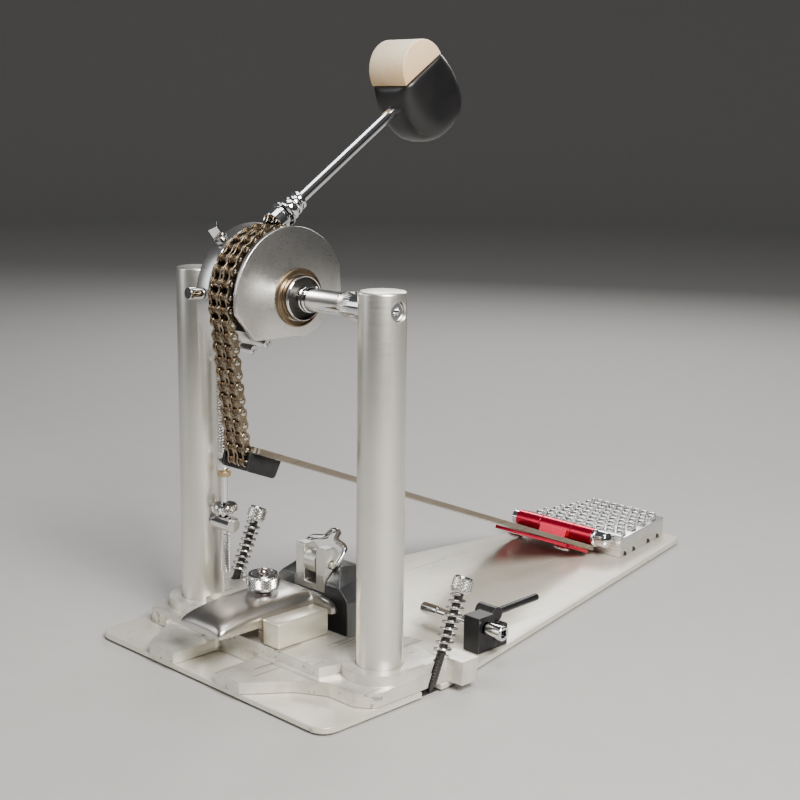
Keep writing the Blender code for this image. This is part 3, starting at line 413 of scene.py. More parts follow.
# Upright faces of the plate and frame block: raw metal, darkened further as painted shade on the sides; its
# lighter edge colour is a painted edge highlight.
RAW_SHADED_SIDE = Finish("raw_shaded_side", (0.50, 0.50, 0.49), (0.34, 0.335, 0.32), 0.95, 0.28, 0.46, Grain.NONE,
                  700.0, 60.0, 0.5, 0.010, (0.80, 0.79, 0.76), 0.4, 0.6)
HEEL = Finish("milled_heel", (0.84, 0.84, 0.83), (0.62, 0.62, 0.62), 1.0, 0.20, 0.38, Grain.ALONG_X,
              900.0, 70.0, 0.4, 0.006, (0.96, 0.96, 0.95), 0.3)
PEWTER = Finish("pewter_jaw", (0.66, 0.64, 0.61), (0.47, 0.40, 0.31), 1.0, 0.24, 0.38, Grain.ALONG_Y,
                500.0, 38.0, 0.6, 0.006)
GUIDE = Finish("cream_guide", (0.87, 0.83, 0.70), (0.72, 0.66, 0.50), 0.7, 0.24, 0.42, Grain.ALONG_Y,
               700.0, 60.0, 0.4, 0.005, (0.96, 0.94, 0.86), 0.4)
DARK_CAST = Finish("dark_casting", (0.20, 0.205, 0.21), (0.10, 0.10, 0.105), 0.85, 0.26, 0.46, Grain.NONE,
                   700.0, 50.0, 0.5, 0.012, (0.42, 0.42, 0.42), 0.4)
CORE = Finish("dark_core", (0.035, 0.033, 0.03), (0.09, 0.08, 0.065), 0.6, 0.32, 0.5, relief=0.01)
CHROME = Finish("polished_chrome", (0.86, 0.86, 0.87), (0.66, 0.65, 0.63), 1.0, 0.04, 0.12, Grain.NONE,
                200.0, 70.0, 0.35, 0.0)
KNURL = Finish("knurled_chrome", (0.84, 0.83, 0.81), (0.46, 0.44, 0.40), 1.0, 0.14, 0.26, Grain.NONE,
               300.0, 120.0, 0.4, 0.0)
STEEL = Finish("dark_steel", (0.10, 0.095, 0.09), (0.045, 0.04, 0.035), 0.9, 0.25, 0.42, relief=0.0)
PINK_STUD = Finish("warm_chrome", (0.84, 0.70, 0.66), (0.66, 0.50, 0.46), 1.0, 0.08, 0.18,
                   mottle=0.4, relief=0.0)
BRONZE = Finish("dark_bronze", (0.20, 0.14, 0.085), (0.09, 0.06, 0.035), 0.9, 0.22, 0.42,
                mottle=0.6, relief=0.004, worn=(0.60, 0.48, 0.32), edge_band_width=0.25)
CHAIN = Finish("chain_plates", (0.36, 0.295, 0.215), (0.13, 0.095, 0.062), 1.0, 0.18, 0.38, Grain.NONE,
               900.0, 150.0, 0.75, 0.003)
PIN_STEEL = Finish("chain_pins", (0.82, 0.77, 0.67), (0.48, 0.41, 0.31), 1.0, 0.12, 0.28, mottle_scale=200.0,
                   relief=0.0)
SPRING_WIRE = Finish("spring_wire", (0.80, 0.79, 0.77), (0.50, 0.47, 0.42), 1.0, 0.14, 0.28,
                     mottle_scale=120.0, relief=0.0)
TAN_RING = Finish("tan_ring", (0.56, 0.42, 0.24), (0.36, 0.25, 0.13), 0.7, 0.26, 0.44, relief=0.004)
RED = Finish("red_anodised", (0.72, 0.010, 0.050), (0.46, 0.004, 0.025), 0.85, 0.16, 0.28, Grain.ALONG_X,
             900.0, 60.0, 0.35, 0.002, (0.90, 0.22, 0.26), 0.25, 0.0, 0.3)
BOARD = Finish("board_metal", (0.36, 0.31, 0.25), (0.22, 0.18, 0.135), 0.95, 0.22, 0.40, Grain.ALONG_Y,
               700.0, 30.0, 0.5, 0.004, (0.62, 0.56, 0.47), 0.45, 0.5)
BLACK = Finish("black_oxide", (0.016, 0.016, 0.018), (0.045, 0.045, 0.047), 0.4, 0.24, 0.42, Grain.NONE,
               900.0, 90.0, 0.4, 0.006, (0.16, 0.16, 0.16), 0.35)
RUBBER = Finish("floor_rubber", (0.016, 0.016, 0.016), (0.035, 0.034, 0.032), 0.0, 0.65, 0.9, relief=0.03)
JACKET = Finish("black_jacket", (0.007, 0.007, 0.008), (0.018, 0.017, 0.017), 0.0, 0.30, 0.44, Grain.NONE,
                900.0, 50.0, 0.5, 0.012, coat=0.2)
PAD = PadFinish("cream_pad", (0.93, 0.86, 0.68), (0.72, 0.50, 0.27), 0.0, 0.50, 0.72, Grain.ALONG_X,
                500.0, 80.0, 0.4, 0.02)
PAPER = Finish("pale_floor", (0.47, 0.465, 0.455), (0.44, 0.435, 0.425), 0.0, 0.55, 0.8, relief=0.0)
PAD_END = PadFinish("tan_pad_end", (0.84, 0.64, 0.41), (0.66, 0.44, 0.24), 0.0, 0.55, 0.78, Grain.NONE,
                    800.0, 90.0, 0.4, 0.03)


# ------------------------------------------------------------------ shaping

def from_side(u: float, v: float, w: float) -> Point:
    """Place an outline drawn in Y and Z, thick along X."""
    return w, u, v


def from_above(u: float, v: float, w: float) -> Point:
    """Place an outline drawn in X and Y, thick along Z."""
    return u, v, w


def round_turns(count: int) -> list[float]:
    """Angles in radians of evenly spaced points round a circle."""
    return [2 * math.pi * i / count for i in range(count)]


def squared(wave: float, power: float) -> float:
    """Sine or cosine bent so that a circle becomes a soft-cornered square."""
    return math.copysign(abs(wave) ** (2 / power), wave)


def axis_frame(start: Sequence[float], end: Sequence[float]) -> tuple[Vector, Vector, Vector]:
    """Unit vectors along an axis and across it.

    Args:
        start: Point on the axis.
        end: Another point on it.
    Returns:
        The axis and two vectors at right angles to it and to each other.
    """
    axis = (Vector(end) - Vector(start)).normalized()
    side = axis.orthogonal().normalized()
    return axis, side, axis.cross(side)


def stand(name: str, data: bpy.types.ID) -> bpy.types.Object:
    """Put a mesh, light or camera into the scene.

    Args:
        name: The object's name.
        data: What it shows.
    Returns:
        The new object.
    """
    obj = bpy.data.objects.new(name, data)
    bpy.context.scene.collection.objects.link(obj)
    return obj


def arc(centre: Flat, radius: float, start: float, end: float, steps: int = 10) -> list[Flat]:
    """Points on an arc.

    Args:
        centre: Its centre.
        radius: Its radius.
        start: First angle in degrees.
        end: Last angle in degrees.
        steps: Number of chords.
    Returns:
        The points in order.
    """
    turns = [math.radians(start + (end - start) * i / steps) for i in range(steps + 1)]
    return [(centre[0] + radius * math.cos(t), centre[1] + radius * math.sin(t)) for t in turns]


def rounded(corners: Sequence[tuple[float, float, float]], steps: int = 6) -> list[Flat]:
    """Outline with rounded corners.

    Args:
        corners: Each corner's two coordinates and its radius.
        steps: Chords in each rounding.
    Returns:
        The outline's points.
    """
    points: list[Flat] = []
    for index, (x, y, radius) in enumerate(corners):
        here = Vector((x, y))
        back = (Vector(corners[index - 1][:2]) - here).normalized()
        ahead = (Vector(corners[(index + 1) % len(corners)][:2]) - here).normalized()
        if radius <= 0:
            points.append((x, y))
            continue
        reach = radius / math.tan(back.angle(ahead) / 2)
        first, last = here + back * reach, here + ahead * reach
        for step in range(steps + 1):
            t = step / steps
            points.append(tuple(first * (1 - t) ** 2 + here * 2 * t * (1 - t) + last * t ** 2))
    return points


def shrink(outline: Sequence[Flat], amount: float) -> list[Flat]:
    """Outline moved inwards.

    Args:
        outline: Points in order, either way round.
        amount: How far each edge moves.
    Returns:
        The same number of points.
    """
    area = sum(a[0] * b[1] - b[0] * a[1] for a, b in zip(outline, [*outline[1:], outline[0]]))
    side = 1.0 if area > 0 else -1.0
    moved: list[Flat] = []
    for index, here in enumerate(outline):
        before, after = Vector(outline[index - 1]), Vector(outline[(index + 1) % len(outline)])
        one, two = Vector(here) - before, after - Vector(here)
        inward = (Vector((-one.y, one.x)).normalized() + Vector((-two.y, two.x)).normalized()) * side
        size = max(inward.length, 0.7)
        moved.append(tuple(Vector(here) + inward.normalized() * amount * 2 / size))
    return moved


def smooth_path(points: Sequence[Sequence[float]], steps: int = 5) -> list[Vector]:
    """Curve through all the points of a path.

    Args:
        points: The path's points.
        steps: Pieces between two of them.
    Returns:
        The denser path.
    """
    path = [Vector(p) for p in points]
    ends = [path[0] * 2 - path[1], *path, path[-1] * 2 - path[-2]]
    dense: list[Vector] = []
    for a, b, c, d in zip(ends, ends[1:], ends[2:], ends[3:]):
        for step in range(steps):
            t = step / steps
            dense.append(b + (c - a) * (t / 2) + (a * 2 - b * 5 + c * 4 - d) * (t * t / 2)
                         + (b * 3 - a - c * 3 + d) * (t ** 3 / 2))
    return [*dense, path[-1]]


@dataclass
class Shape:
    """A mesh in the making, in millimetres, which ends as one named piece."""

    work: bmesh.types.BMesh = field(default_factory=bmesh.new)
    paint: int = 0

    def ring(self, points: Iterable[Sequence[float]]) -> list[bmesh.types.BMVert]:
        """Add one ring of points, given in millimetres."""
        return [self.work.verts.new(Vector(p) * MM) for p in points]

    def face(self, corners: Sequence[bmesh.types.BMVert]) -> None:
        """Add one face in the current paint."""
        self.work.faces.new(corners).material_index = self.paint

    def skin(self, rings: Sequence[list[bmesh.types.BMVert]], loop: bool = False) -> None:
        """Join rings into a closed surface.

        Args:
            rings: Rings of equal size, or of one point at a tip.
            loop: Join the last ring to the first instead of capping both ends.
        """
        pairs = list(zip(rings, rings[1:])) + ([(rings[-1], rings[0])] if loop else [])
        for one, two in pairs:
            count = max(len(one), len(two))
            for i in range(count):
                j = (i + 1) % count
                if len(one) == 1:
                    self.face([one[0], two[j], two[i]])
                elif len(two) == 1:
                    self.face([one[i], one[j], two[0]])
                else:
                    self.face([one[i], one[j], two[j], two[i]])
        if not loop:
            for end in (rings[0], rings[-1]):
                if len(end) > 2:
                    self.face(end)

    def lathe(self, profile: Sequence[Flat], start: Sequence[float], end: Sequence[float],
              segments: int = 48) -> None:
        """Turn a profile.

        Args:
            profile: (radius, distance) points; one that ends where it began is a ring.
            start: Point on the axis at distance 0.
            end: Another point on the axis.
            segments: Points round each ring.
        """
        axis, side, other = axis_frame(start, end)
        loop = profile[0] == profile[-1]
        rings = []
        for radius, distance in (profile[:-1] if loop else profile):
            centre = Vector(start) + axis * distance
            if radius < NOTHING:
                rings.append(self.ring([centre]))
                continue
            rings.append(self.ring(centre + (side * math.cos(t) + other * math.sin(t)) * radius
                                   for t in round_turns(segments)))
        self.skin(rings, loop)

    def knurl(self, start: Sequence[float], end: Sequence[float], radius: float, depth: float,
              columns: int, rows: int) -> None:
        """Band of diamond knurling with plain ends.

        Args:
            start: Axis point at one end.
            end: Axis point at the other end.
            radius: Outer radius.
            depth: Depth of the grooves.
            columns: Points round the band, an even number.
            rows: Rows along it.
        """
        length = (Vector(end) - Vector(start)).length
        axis, side, other = axis_frame(start, end)
        rings = []
        for row in range(rows + 1):
            points = []
            for column, t in enumerate(round_turns(columns)):
                low = (row + column) % 2 or row in (0, rows)
                r = radius - (depth if low else 0.0)
                centre = Vector(start) + axis * (length * row / rows)
                points.append(centre + (side * math.cos(t) + other * math.sin(t)) * r)
            rings.append(self.ring(points))
        for row in range(rows):
            for column in range(columns):
                after = (column + 1) % columns
                a, b = rings[row][column], rings[row][after]
                d, c = rings[row + 1][column], rings[row + 1][after]
                corners = [(a, b, c), (a, c, d)] if (row + column) % 2 == 0 else [(a, b, d), (b, c, d)]
                for corner in corners:
                    self.face(corner)
        self.face(rings[0])
        self.face(rings[-1])

    def sweep(self, path: Sequence[Sequence[float]], radius: float, sides: int = 8,
              loop: bool = False) -> None:
        """Round wire along a path.

        Args:
            path: Points on its centre line.
            radius: Its radius.
            sides: Points round it.
            loop: Close the path.
        """
        points = [Vector(p) for p in path]
        count = len(points)
        normal = Vector((0, 0, 0))
        rings = []
        for i, here in enumerate(points):
            before = points[i - 1] if loop or i else here
            after = points[(i + 1) % count] if loop or i < count - 1 else here
            along = (after - before).normalized()
            if not i:
                normal = along.orthogonal().normalized()
            normal = (normal - along * normal.dot(along)).normalized()
            other = along.cross(normal)
            rings.append(self.ring(here + (normal * math.cos(t) + other * math.sin(t)) * radius
                                   for t in round_turns(sides)))
        self.skin(rings, loop)

    def plate(self, outline: Sequence[Flat], low: float, high: float, place: Place, edge: float = 0.2,
              steps: int = 1) -> None:
        """Flat shape with eased edges.

        Args:
            outline: Its outline.
            low: Where it starts across its thickness.
            high: Where it ends.
            place: Turns outline coordinates and thickness into a point.
            edge: Width of the eased edge.
            steps: Chords in that edge.
        """
        layers = []
        for step in range(steps + 1):
            t = math.pi / 2 * step / steps
            layers.append((edge * (1 - math.sin(t)), edge * (1 - math.cos(t))))
        stack = [(inset, low + depth) for inset, depth in layers]
        stack += [(inset, high - depth) for inset, depth in reversed(layers)]
        rings = []
        for inset, level in stack:
            points = shrink(outline, inset) if inset > NOTHING else outline
            rings.append(self.ring(place(u, v, level) for u, v in points))
        self.skin(rings)

    def mesh(self, name: str) -> bpy.types.Mesh:
        """End the work as a mesh.

        Args:
            name: The mesh's name.
        Returns:
            The mesh.
        """
        mesh = bpy.data.meshes.new(name)
        self.work.to_mesh(mesh)
        self.work.free()
        return mesh

    def piece(self, name: str, body: str, finishes: Sequence[Finish], slot: str,
              replaces: Sequence[str] = (), sharp: float = 32.0) -> bpy.types.Object:
        """Finish the mesh and hang it on its body.

        Args:
            name: The piece's name.
            body: The body that it rides on.
            finishes: One finish for each paint number.
            slot: The record's material slot; not used.
            replaces: CAD nodes that it stands for.
            sharp: Angle in degrees above which an edge stays crisp.
        Returns:
            The new object.
        """
        bmesh.ops.recalc_face_normals(self.work, faces=self.work.faces)
        mesh = self.mesh(name)
        mesh.shade_smooth()
        mesh.set_sharp_from_angle(angle=math.radians(sharp))
        for finish in finishes:
            mesh.materials.append(finish.material())
        obj = stand(name, mesh)
        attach(obj, body)
        if replaces:
            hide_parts(*replaces)
        LOG.info("%s rides on %s, %d faces", name, body, len(mesh.polygons))
        return obj


def dress(finish: Finish, *nodes: str) -> None:
    """Give CAD nodes a finish.

    Args:
        finish: The finish.
        nodes: Names of the nodes.
    """
    for name in nodes:
        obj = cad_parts[name]
        obj.data.materials.clear()
        obj.data.materials.append(finish.material())
        LOG.info("%s dressed in %s", name, finish.name)


def recut(finish: Finish, slot: str, body: str, *nodes: str, edge: float = 0.3,
          sides: Finish | None = None) -> None:
    """Stand smooth-shaded copies with eased edges in for CAD nodes of the right shape.

    Args:
        finish: Their finish.
        slot: Their material slot; not used.
        body: The body that they ride on.
        nodes: Names of the nodes.
        edge: Width of the eased edges.
        sides: Another finish for upright faces.
    """
    for name in nodes:
        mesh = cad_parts[name].data.copy()
        work = bmesh.new()
        work.from_mesh(mesh)
        bmesh.ops.remove_doubles(work, verts=work.verts, dist=NOTHING)
        bmesh.ops.dissolve_limit(work, angle_limit=math.radians(1.5), verts=work.verts, edges=work.edges)
        bmesh.ops.recalc_face_normals(work, faces=work.faces)
        for face in work.faces:
            # Upright faces take the side finish, whose darker colour is partly painted shade on the sides.
            face.material_index = int(sides is not None and abs(face.normal.z) < 0.5)
        work.to_mesh(mesh)
        work.free()
        mesh.materials.clear()
        mesh.materials.append(finish.material())
        if sides:
            mesh.materials.append(sides.material())
        mesh.shade_smooth()
        obj = stand(f"{name}_finished", mesh)
        if edge > 0:
            ease = obj.modifiers.new("eased_edges", "BEVEL")
            ease.width = edge * MM
            ease.segments = 2
            ease.limit_method = "ANGLE"
            ease.angle_limit = CREASE
            ease.harden_normals = False
        mesh.set_sharp_from_angle(angle=CREASE)
        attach(obj, body)
        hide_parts(name)
        LOG.info("%s recut in %s", name, finish.name)


def drill(obj: bpy.types.Object, start: Point, end: Point, radius: float) -> None:
    """Bore a round hole through a piece.

    Args:
        obj: The piece.
        start: Point on the hole's axis.
        end: The other end of the hole.
        radius: Its radius.
    """
    cutter = Shape()
    length = (Vector(end) - Vector(start)).length
    cutter.lathe([(0, 0), (radius, 0), (radius, length), (0, length)], start, end, 40)
    bmesh.ops.recalc_face_normals(cutter.work, faces=cutter.work.faces)
    tool = stand("cutter", cutter.mesh("cutter"))
    hole = obj.modifiers.new("hole", "BOOLEAN")
    hole.object = tool
    hole.solver = "EXACT"
    bpy.context.view_layer.update()
    ready = bpy.data.meshes.new_from_object(obj.evaluated_get(bpy.context.evaluated_depsgraph_get()))
    obj.modifiers.clear()
    obj.data = ready
    bpy.data.objects.remove(tool)


def turned(name: str, body: str, finish: Finish, slot: str, profile: Sequence[Flat],
           axis: tuple[Point, Point], segments: int = 48, replaces: Sequence[str] = ()) -> bpy.types.Object:
    """Turn one piece on its own.

    Args:
        name: The piece's name.
        body: The body that it rides on.
        finish: Its finish.
        slot: Its material slot.
        profile: (radius, distance) points.
        axis: The point at distance 0 and another point on the axis.
        segments: Points round each ring.
        replaces: CAD nodes that it stands for.
    Returns:
        The new object.
    """
    shape = Shape()
    shape.lathe(profile, *axis, segments)
    return shape.piece(name, body, [finish], slot, replaces)


def knurled(name: str, body: str, axis: tuple[Point, Point], radius: float, depth: float,
            columns: int, rows: int, sharp: float = 10.0) -> None:
    """Knurled band on its own.

    Args:
        name: The piece's name.
        body: The body that it rides on.
        axis: The axis points at its two ends.
        radius: Outer radius.
        depth: Depth of the grooves.
        columns: Points round the band, an even number.
        rows: Rows along it.
        sharp: Angle in degrees above which an edge stays crisp.
    """
    shape = Shape()
    shape.knurl(*axis, radius, depth, columns, rows)
    shape.piece(name, body, [KNURL], "chrome", sharp=sharp)


# ------------------------------------------------------------------ sub-assemblies

@dataclass
class Studio:
    """Plain floor, soft lights and the camera."""

    camera_place: Point = (0.5328, -0.4598, 0.2785)
    lens: float = 64.04
    turn: float = 44.4777
    tilt: float = 78.5692
    roll: float = 0.6477
    floor_half: float = 6.0
    floor_sides: int = 96
    rim_steps: int = 12

    def floor(self) -> None:
        """Round pale floor whose rim curves up far away from the object."""
        shape = Shape()
        reach = self.floor_half / MM
        profile = [(0.0, 0.0), (reach * 0.25, 0.0), (reach * 0.5, 0.0)]
        profile += [(reach * (0.5 + 0.35 * math.sin(t)), reach * 0.35 * (1 - math.cos(t)))
                    for t in (math.radians(90 * i / self.rim_steps) for i in range(1, self.rim_steps + 1))]
        rings = [shape.ring([(0, 0, 0)])]
        for radius, level in profile[1:]:
            rings.append(shape.ring((radius * math.cos(t), radius * math.sin(t), level)
                                    for t in round_turns(self.floor_sides)))
        for one, two in zip(rings, rings[1:]):
            for i in range(self.floor_sides):
                j = (i + 1) % self.floor_sides
                shape.face([one[0], two[i], two[j]] if len(one) == 1 else [one[i], two[i], two[j], one[j]])
        mesh = shape.mesh("floor")
        mesh.shade_smooth()
        mesh.materials.append(PAPER.material())
        obj = stand("floor", mesh)

    def light(self, name: str, place: Point, target: Point, size: Flat, power: float, tint: Colour) -> None:
        """Aim one soft rectangular light.

        Args:
            name: Its name.
            place: Where it hangs.
            target: What it points at.
            size: Its width and height.
            power: Watts.
            tint: Its colour.
        """
        lamp = bpy.data.lights.new(name, "AREA")
        lamp.shape = "RECTANGLE"
        lamp.size, lamp.size_y = size
        lamp.energy = power
        lamp.color = tint
        obj = stand(name, lamp)
        obj.location = place
        obj.rotation_euler = (Vector(target) - Vector(place)).to_track_quat("-Z", "Y").to_euler()

    def lights(self) -> None:
        """Key light from the front right, a fill, a rim from behind and a grey sky."""
        middle = (0.0, 0.05, 0.12)
        self.light("key_light", (0.85, -0.25, 0.85), middle, (0.45, 0.45), 26.0, (1.0, 0.96, 0.90))
        self.light("fill_light", (-0.8, -1.0, 0.7), middle, (0.5, 0.9), 3.5, (0.95, 0.97, 1.0))
        self.light("rim_light", (-0.6, 1.1, 0.8), middle, (0.9, 0.4), 9.0, (1.0, 0.98, 0.96))
        self.light("top_light", (0.1, 0.0, 1.3), middle, (0.6, 0.6), 5.0, (1.0, 1.0, 1.0))
        world = bpy.data.worlds.new("studio")
        world.use_nodes = True
        sky = world.node_tree.nodes["Background"]
        sky.inputs["Color"].default_value = (0.62, 0.63, 0.65, 1.0)
        sky.inputs["Strength"].default_value = 0.13
        bpy.context.scene.world = world

    def camera(self) -> None:
        """Camera at the object's usual three-quarter front view."""
        lens = bpy.data.cameras.new("camera")
        lens.lens = self.lens
        lens.sensor_width = 36.0
        obj = stand("camera", lens)
        place = Matrix.Translation(self.camera_place)
        for angle, axis in ((self.turn, "Z"), (self.tilt, "X"), (self.roll, "Z")):
            place = place @ Matrix.Rotation(math.radians(angle), 4, axis)
        obj.matrix_world = place
        bpy.context.scene.camera = obj

    def build(self) -> None:
        """Build the whole stage."""
        self.floor()
        self.lights()
        self.camera()


@dataclass
class Base:
    """Floor pad, plate, frame block with its guides and the clamp housing."""

    screw: Flat = (53.5, 51.6)

    def build(self) -> None:
        """Dress the base's castings and add the plate's screw."""
        dress(RUBBER, "floor_pad")
        # The plate and frame block get the darker side finish on upright faces: raw metal with painted side
        # shade.
        recut(PLATE, "plate", "base", "base_plate", edge=0.5, sides=RAW_SHADED_SIDE)
        recut(CAST, "cast", "base", "frame_block", edge=0.5, sides=RAW_SHADED_SIDE)
        recut(GUIDE, "cast", "base", "guide_block_right", "guide_block_left", edge=0.8)
        recut(DARK_CAST, "dark_cast", "base", "clamp_housing", edge=1.2)
        recut(BLACK, "black", "base", "key_holder", edge=0.5)
        self.plate_screw()

    def plate_screw(self) -> None:
        """Low-headed screw in the plate's upper face."""
        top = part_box("base_plate")[1].z / MM
        profile = [(0, 0.1), (0.9, 0.1), (1.0, 0.9), (2.4, 1.0), (2.8, 0.8), (3.0, 0.2), (3.0, -0.2),
                   (0, -0.2)]
        axis = ((*self.screw, top), (*self.screw, top + 1))
        turned("plate_screw", "base", CHROME, "chrome", profile, axis, 32)


@dataclass
class PostPair:
    """Two round posts bored for the axle, and their bearings."""

    x: float = 69.3
    radius: float = 11.5
    foot: float = 10.8
    top: float = 197.7
    segments: int = 112
    seat: float = 7.6
    bore: float = 4.9
    swivel_z: float = 61.5
    swivel_bore: float = 3.6

    def build(self) -> None:
        """Turn both posts, bore them for the axle and the left one for the spring's swivel."""
        for side, sign in (("right", 1), ("left", -1)):
            height = self.top - self.foot
            r = self.radius
            profile = [(0, 0), (r, 0), (r, 20), (r, 60), (r, 110), (r, height - 1.2),
                       (r - 0.15, height - 0.6), (r - 0.6, height - 0.15), (r - 1.2, height), (0, height)]
            axis = ((sign * self.x, 0, self.foot), (sign * self.x, 0, self.top))
            post = turned(f"turned_post_{side}", "base", SATIN, "satin", profile, axis, self.segments,
                          [f"post_{side}"])
            drill(post, (sign * 50, 0, AXLE_Z), (sign * 72, 0, AXLE_Z), self.seat)
            drill(post, (sign * 60, 0, AXLE_Z), (sign * 90, 0, AXLE_Z), self.bore)
            if side == "left":
                drill(post, (-self.x, 0, self.swivel_z), (-self.x + 20, 0, self.swivel_z), self.swivel_bore)
            self.bearing(side, sign)

    def bearing(self, side: str, sign: int) -> None:
        """Flanged bearing with a raised inner race.

        Args:
            side: Its side's name.
            sign: 1 on the right and -1 on the left.
        """
        profile = [(5.56, 0), (6.2, 0), (6.4, -0.3), (6.7, -0.3), (7.0, 0), (7.0, -4.3), (7.25, -4.6),
                   (7.25, -18.0), (5.56, -18.0), (5.56, 0)]
        axis = ((sign * 53.2, 0, AXLE_Z), (sign * 43.2, 0, AXLE_Z))
        turned(f"turned_bearing_{side}", "base", CHROME, "chrome", profile, axis, 64, [f"bearing_{side}"])


@dataclass
class DriveHub:
    """Axle, cam, hub plates, collar, screws and the spring's crank."""

    cam: Flat = (-4.0, AXLE_Z)
    radius: float = 35.0

    def build(self) -> None:
        """Build everything that turns with the axle."""
        self.axle()
        self.plates()
        self.collar()
        self.core()
        recut(CHROME, "chrome", "drive", "set_screw_round", "set_screw_square", edge=0.4)
        recut(SATIN, "satin", "drive", "spring_crank", edge=0.4)

    def axle(self) -> None:
        """Polished axle with a grooved sleeve beside the collar."""
        profile = [(0, -78.5), (4.3, -78.5), (4.6, -78.2), (4.6, -71.5), (5.5, -71.5), (5.5, 71.5),
                   (4.6, 71.5), (4.6, 78.2), (4.3, 78.5), (2.0, 78.5), (1.7, 76.0), (0, 76.0)]
        turned("turned_axle", "drive", CHROME, "chrome", profile, AXLE_LINE, 72, ["axle"])
        knurled("axle_sleeve", "drive", ((45.0, 0, AXLE_Z), (52.6, 0, AXLE_Z)), 6.5, 0.3, 84, 2, sharp=32.0)

    def plates(self) -> None:
        """Near cam plate with its flats, and the round hub plate behind it."""
        lobe = arc(self.cam, self.radius, 189.0, 24.5, 84)
        boss = arc((0, AXLE_Z), 20.3, -1.0, -80.0, 20)
        outline = lobe + [(28.6, AXLE_Z + 1.0)] + boss + [(-1.0, AXLE_Z - 19.0), (-27.5, AXLE_Z - 19.0)]
        near = Shape()
        near.plate(outline, 8.2, 10.7, from_side, 0.45, 3)
        plate = near.piece("cam_side_plate", "drive", [DISC], "satin", ["cam_flange"])
        drill(plate, (0, 0, AXLE_Z), (20, 0, AXLE_Z), AXLE_BORE)
        far = Shape()
        rear = arc(self.cam, self.radius, 224.0, 24.5, 96) + [(28.6, AXLE_Z + 1.0)] + boss
        far.plate(rear + [(-1.0, AXLE_Z - 20.5), (-16.0, AXLE_Z - 24.0)], -20.4, -10.6, from_side, 0.6, 3)
        hub = far.piece("hub_side_plate", "drive", [DISC], "satin", ["hub_flange"])
        drill(hub, (-25, 0, AXLE_Z), (0, 0, AXLE_Z), AXLE_BORE)
        for angle in (129.0, 175.5):
            drill(hub, self.radial(angle, -9.0), self.radial(angle, 5.0), 2.6)

    def core(self) -> None:
        """Dark core that the chain lies on, with a round boss for the rod and two screws below."""
        outline = arc(self.cam, 29.6, 210.0, 0.0, 72) + arc((0, AXLE_Z), 17.5, -5.0, -95.0, 16)
        shape = Shape()
        shape.plate(outline, -10.3, 7.9, from_side, 0.4, 2)
        core = shape.piece("chain_core", "drive", [CORE], "dark_cast", ["cam_core"])
        drill(core, (-15, 0, AXLE_Z), (15, 0, AXLE_Z), AXLE_BORE)
        rod = Beater()
        drill(core, rod.at(15.0), rod.at(44.0), 3.4)
        boss = [(3.4, 0), (6.0, 0), (6.3, 0.4), (6.3, 5.2), (6.0, 5.6), (5.4, 5.8), (5.4, 7.4), (5.0, 7.8),
                (3.4, 7.8), (3.4, 0)]
        turned("rod_boss", "drive", CHROME, "chrome", boss, (rod.at(15.4), rod.at(60)), 64)
        screws = Shape()
        for y, z in ((-18.8, 163.6), (-9.9, 166.0)):
            screws.lathe([(0, -9.5), (2.1, -9.5), (2.4, -9.2), (2.4, -1.0), (2.1, -0.7), (1.2, -0.7),
                          (1.0, -1.6), (0, -1.6)], (0, y, z), (1, y, z), 32)
        screws.piece("core_screws", "drive", [CHROME], "chrome")

    def radial(self, angle: float, beyond: float) -> Point:
        """Point on a set screw's axis.

        Args:
            angle: Its angle in degrees.
            beyond: Distance outside the hub's rim.
        Returns:
            The point.
        """
        t = math.radians(angle)
        reach = self.radius + beyond
        return -15.3, self.cam[0] + reach * math.cos(t), self.cam[1] + reach * math.sin(t)

    def collar(self) -> None:
        """Bronze ring, the dished, polished collar that faces the near post, and a dark disc of painted shade
        at the bottom of the dish.
        """
        ring = [(11.6, 11.0), (14.5, 11.0), (14.5, 11.8), (14.35, 12.15), (14.0, 12.3), (13.75, 12.3),
                (13.6, 12.0), (13.55, 11.3), (11.6, 11.3), (11.6, 11.0)]
        dish = [(5.8, 21.0), (6.2, 21.0), (6.6, 20.6), (6.6, 19.4), (6.3, 19.2), (6.3, 18.4), (6.6, 18.2),
                (6.6, 12.9), (10.3, 12.6), (10.5, 12.8), (10.5, 15.5), (10.8, 15.6), (11.1, 15.4),
                (11.2, 15.0), (11.2, 11.0), (5.8, 11.0), (5.8, 21.0)]
        # Dark disc painted as the shade at the bottom of the collar's dish.
        floor = [(6.65, 12.95), (10.45, 12.85), (10.45, 13.15), (6.65, 13.2), (6.65, 12.95)]
        turned("bronze_ring", "drive", BRONZE, "bronze", ring, AXLE_LINE, 96, ["hub_ring"])
        turned("polished_collar", "drive", CHROME, "chrome", dish, AXLE_LINE, 96, ["hub_collar"])
        turned("collar_recess_shade", "drive", CORE, "bronze", floor, AXLE_LINE, 96)


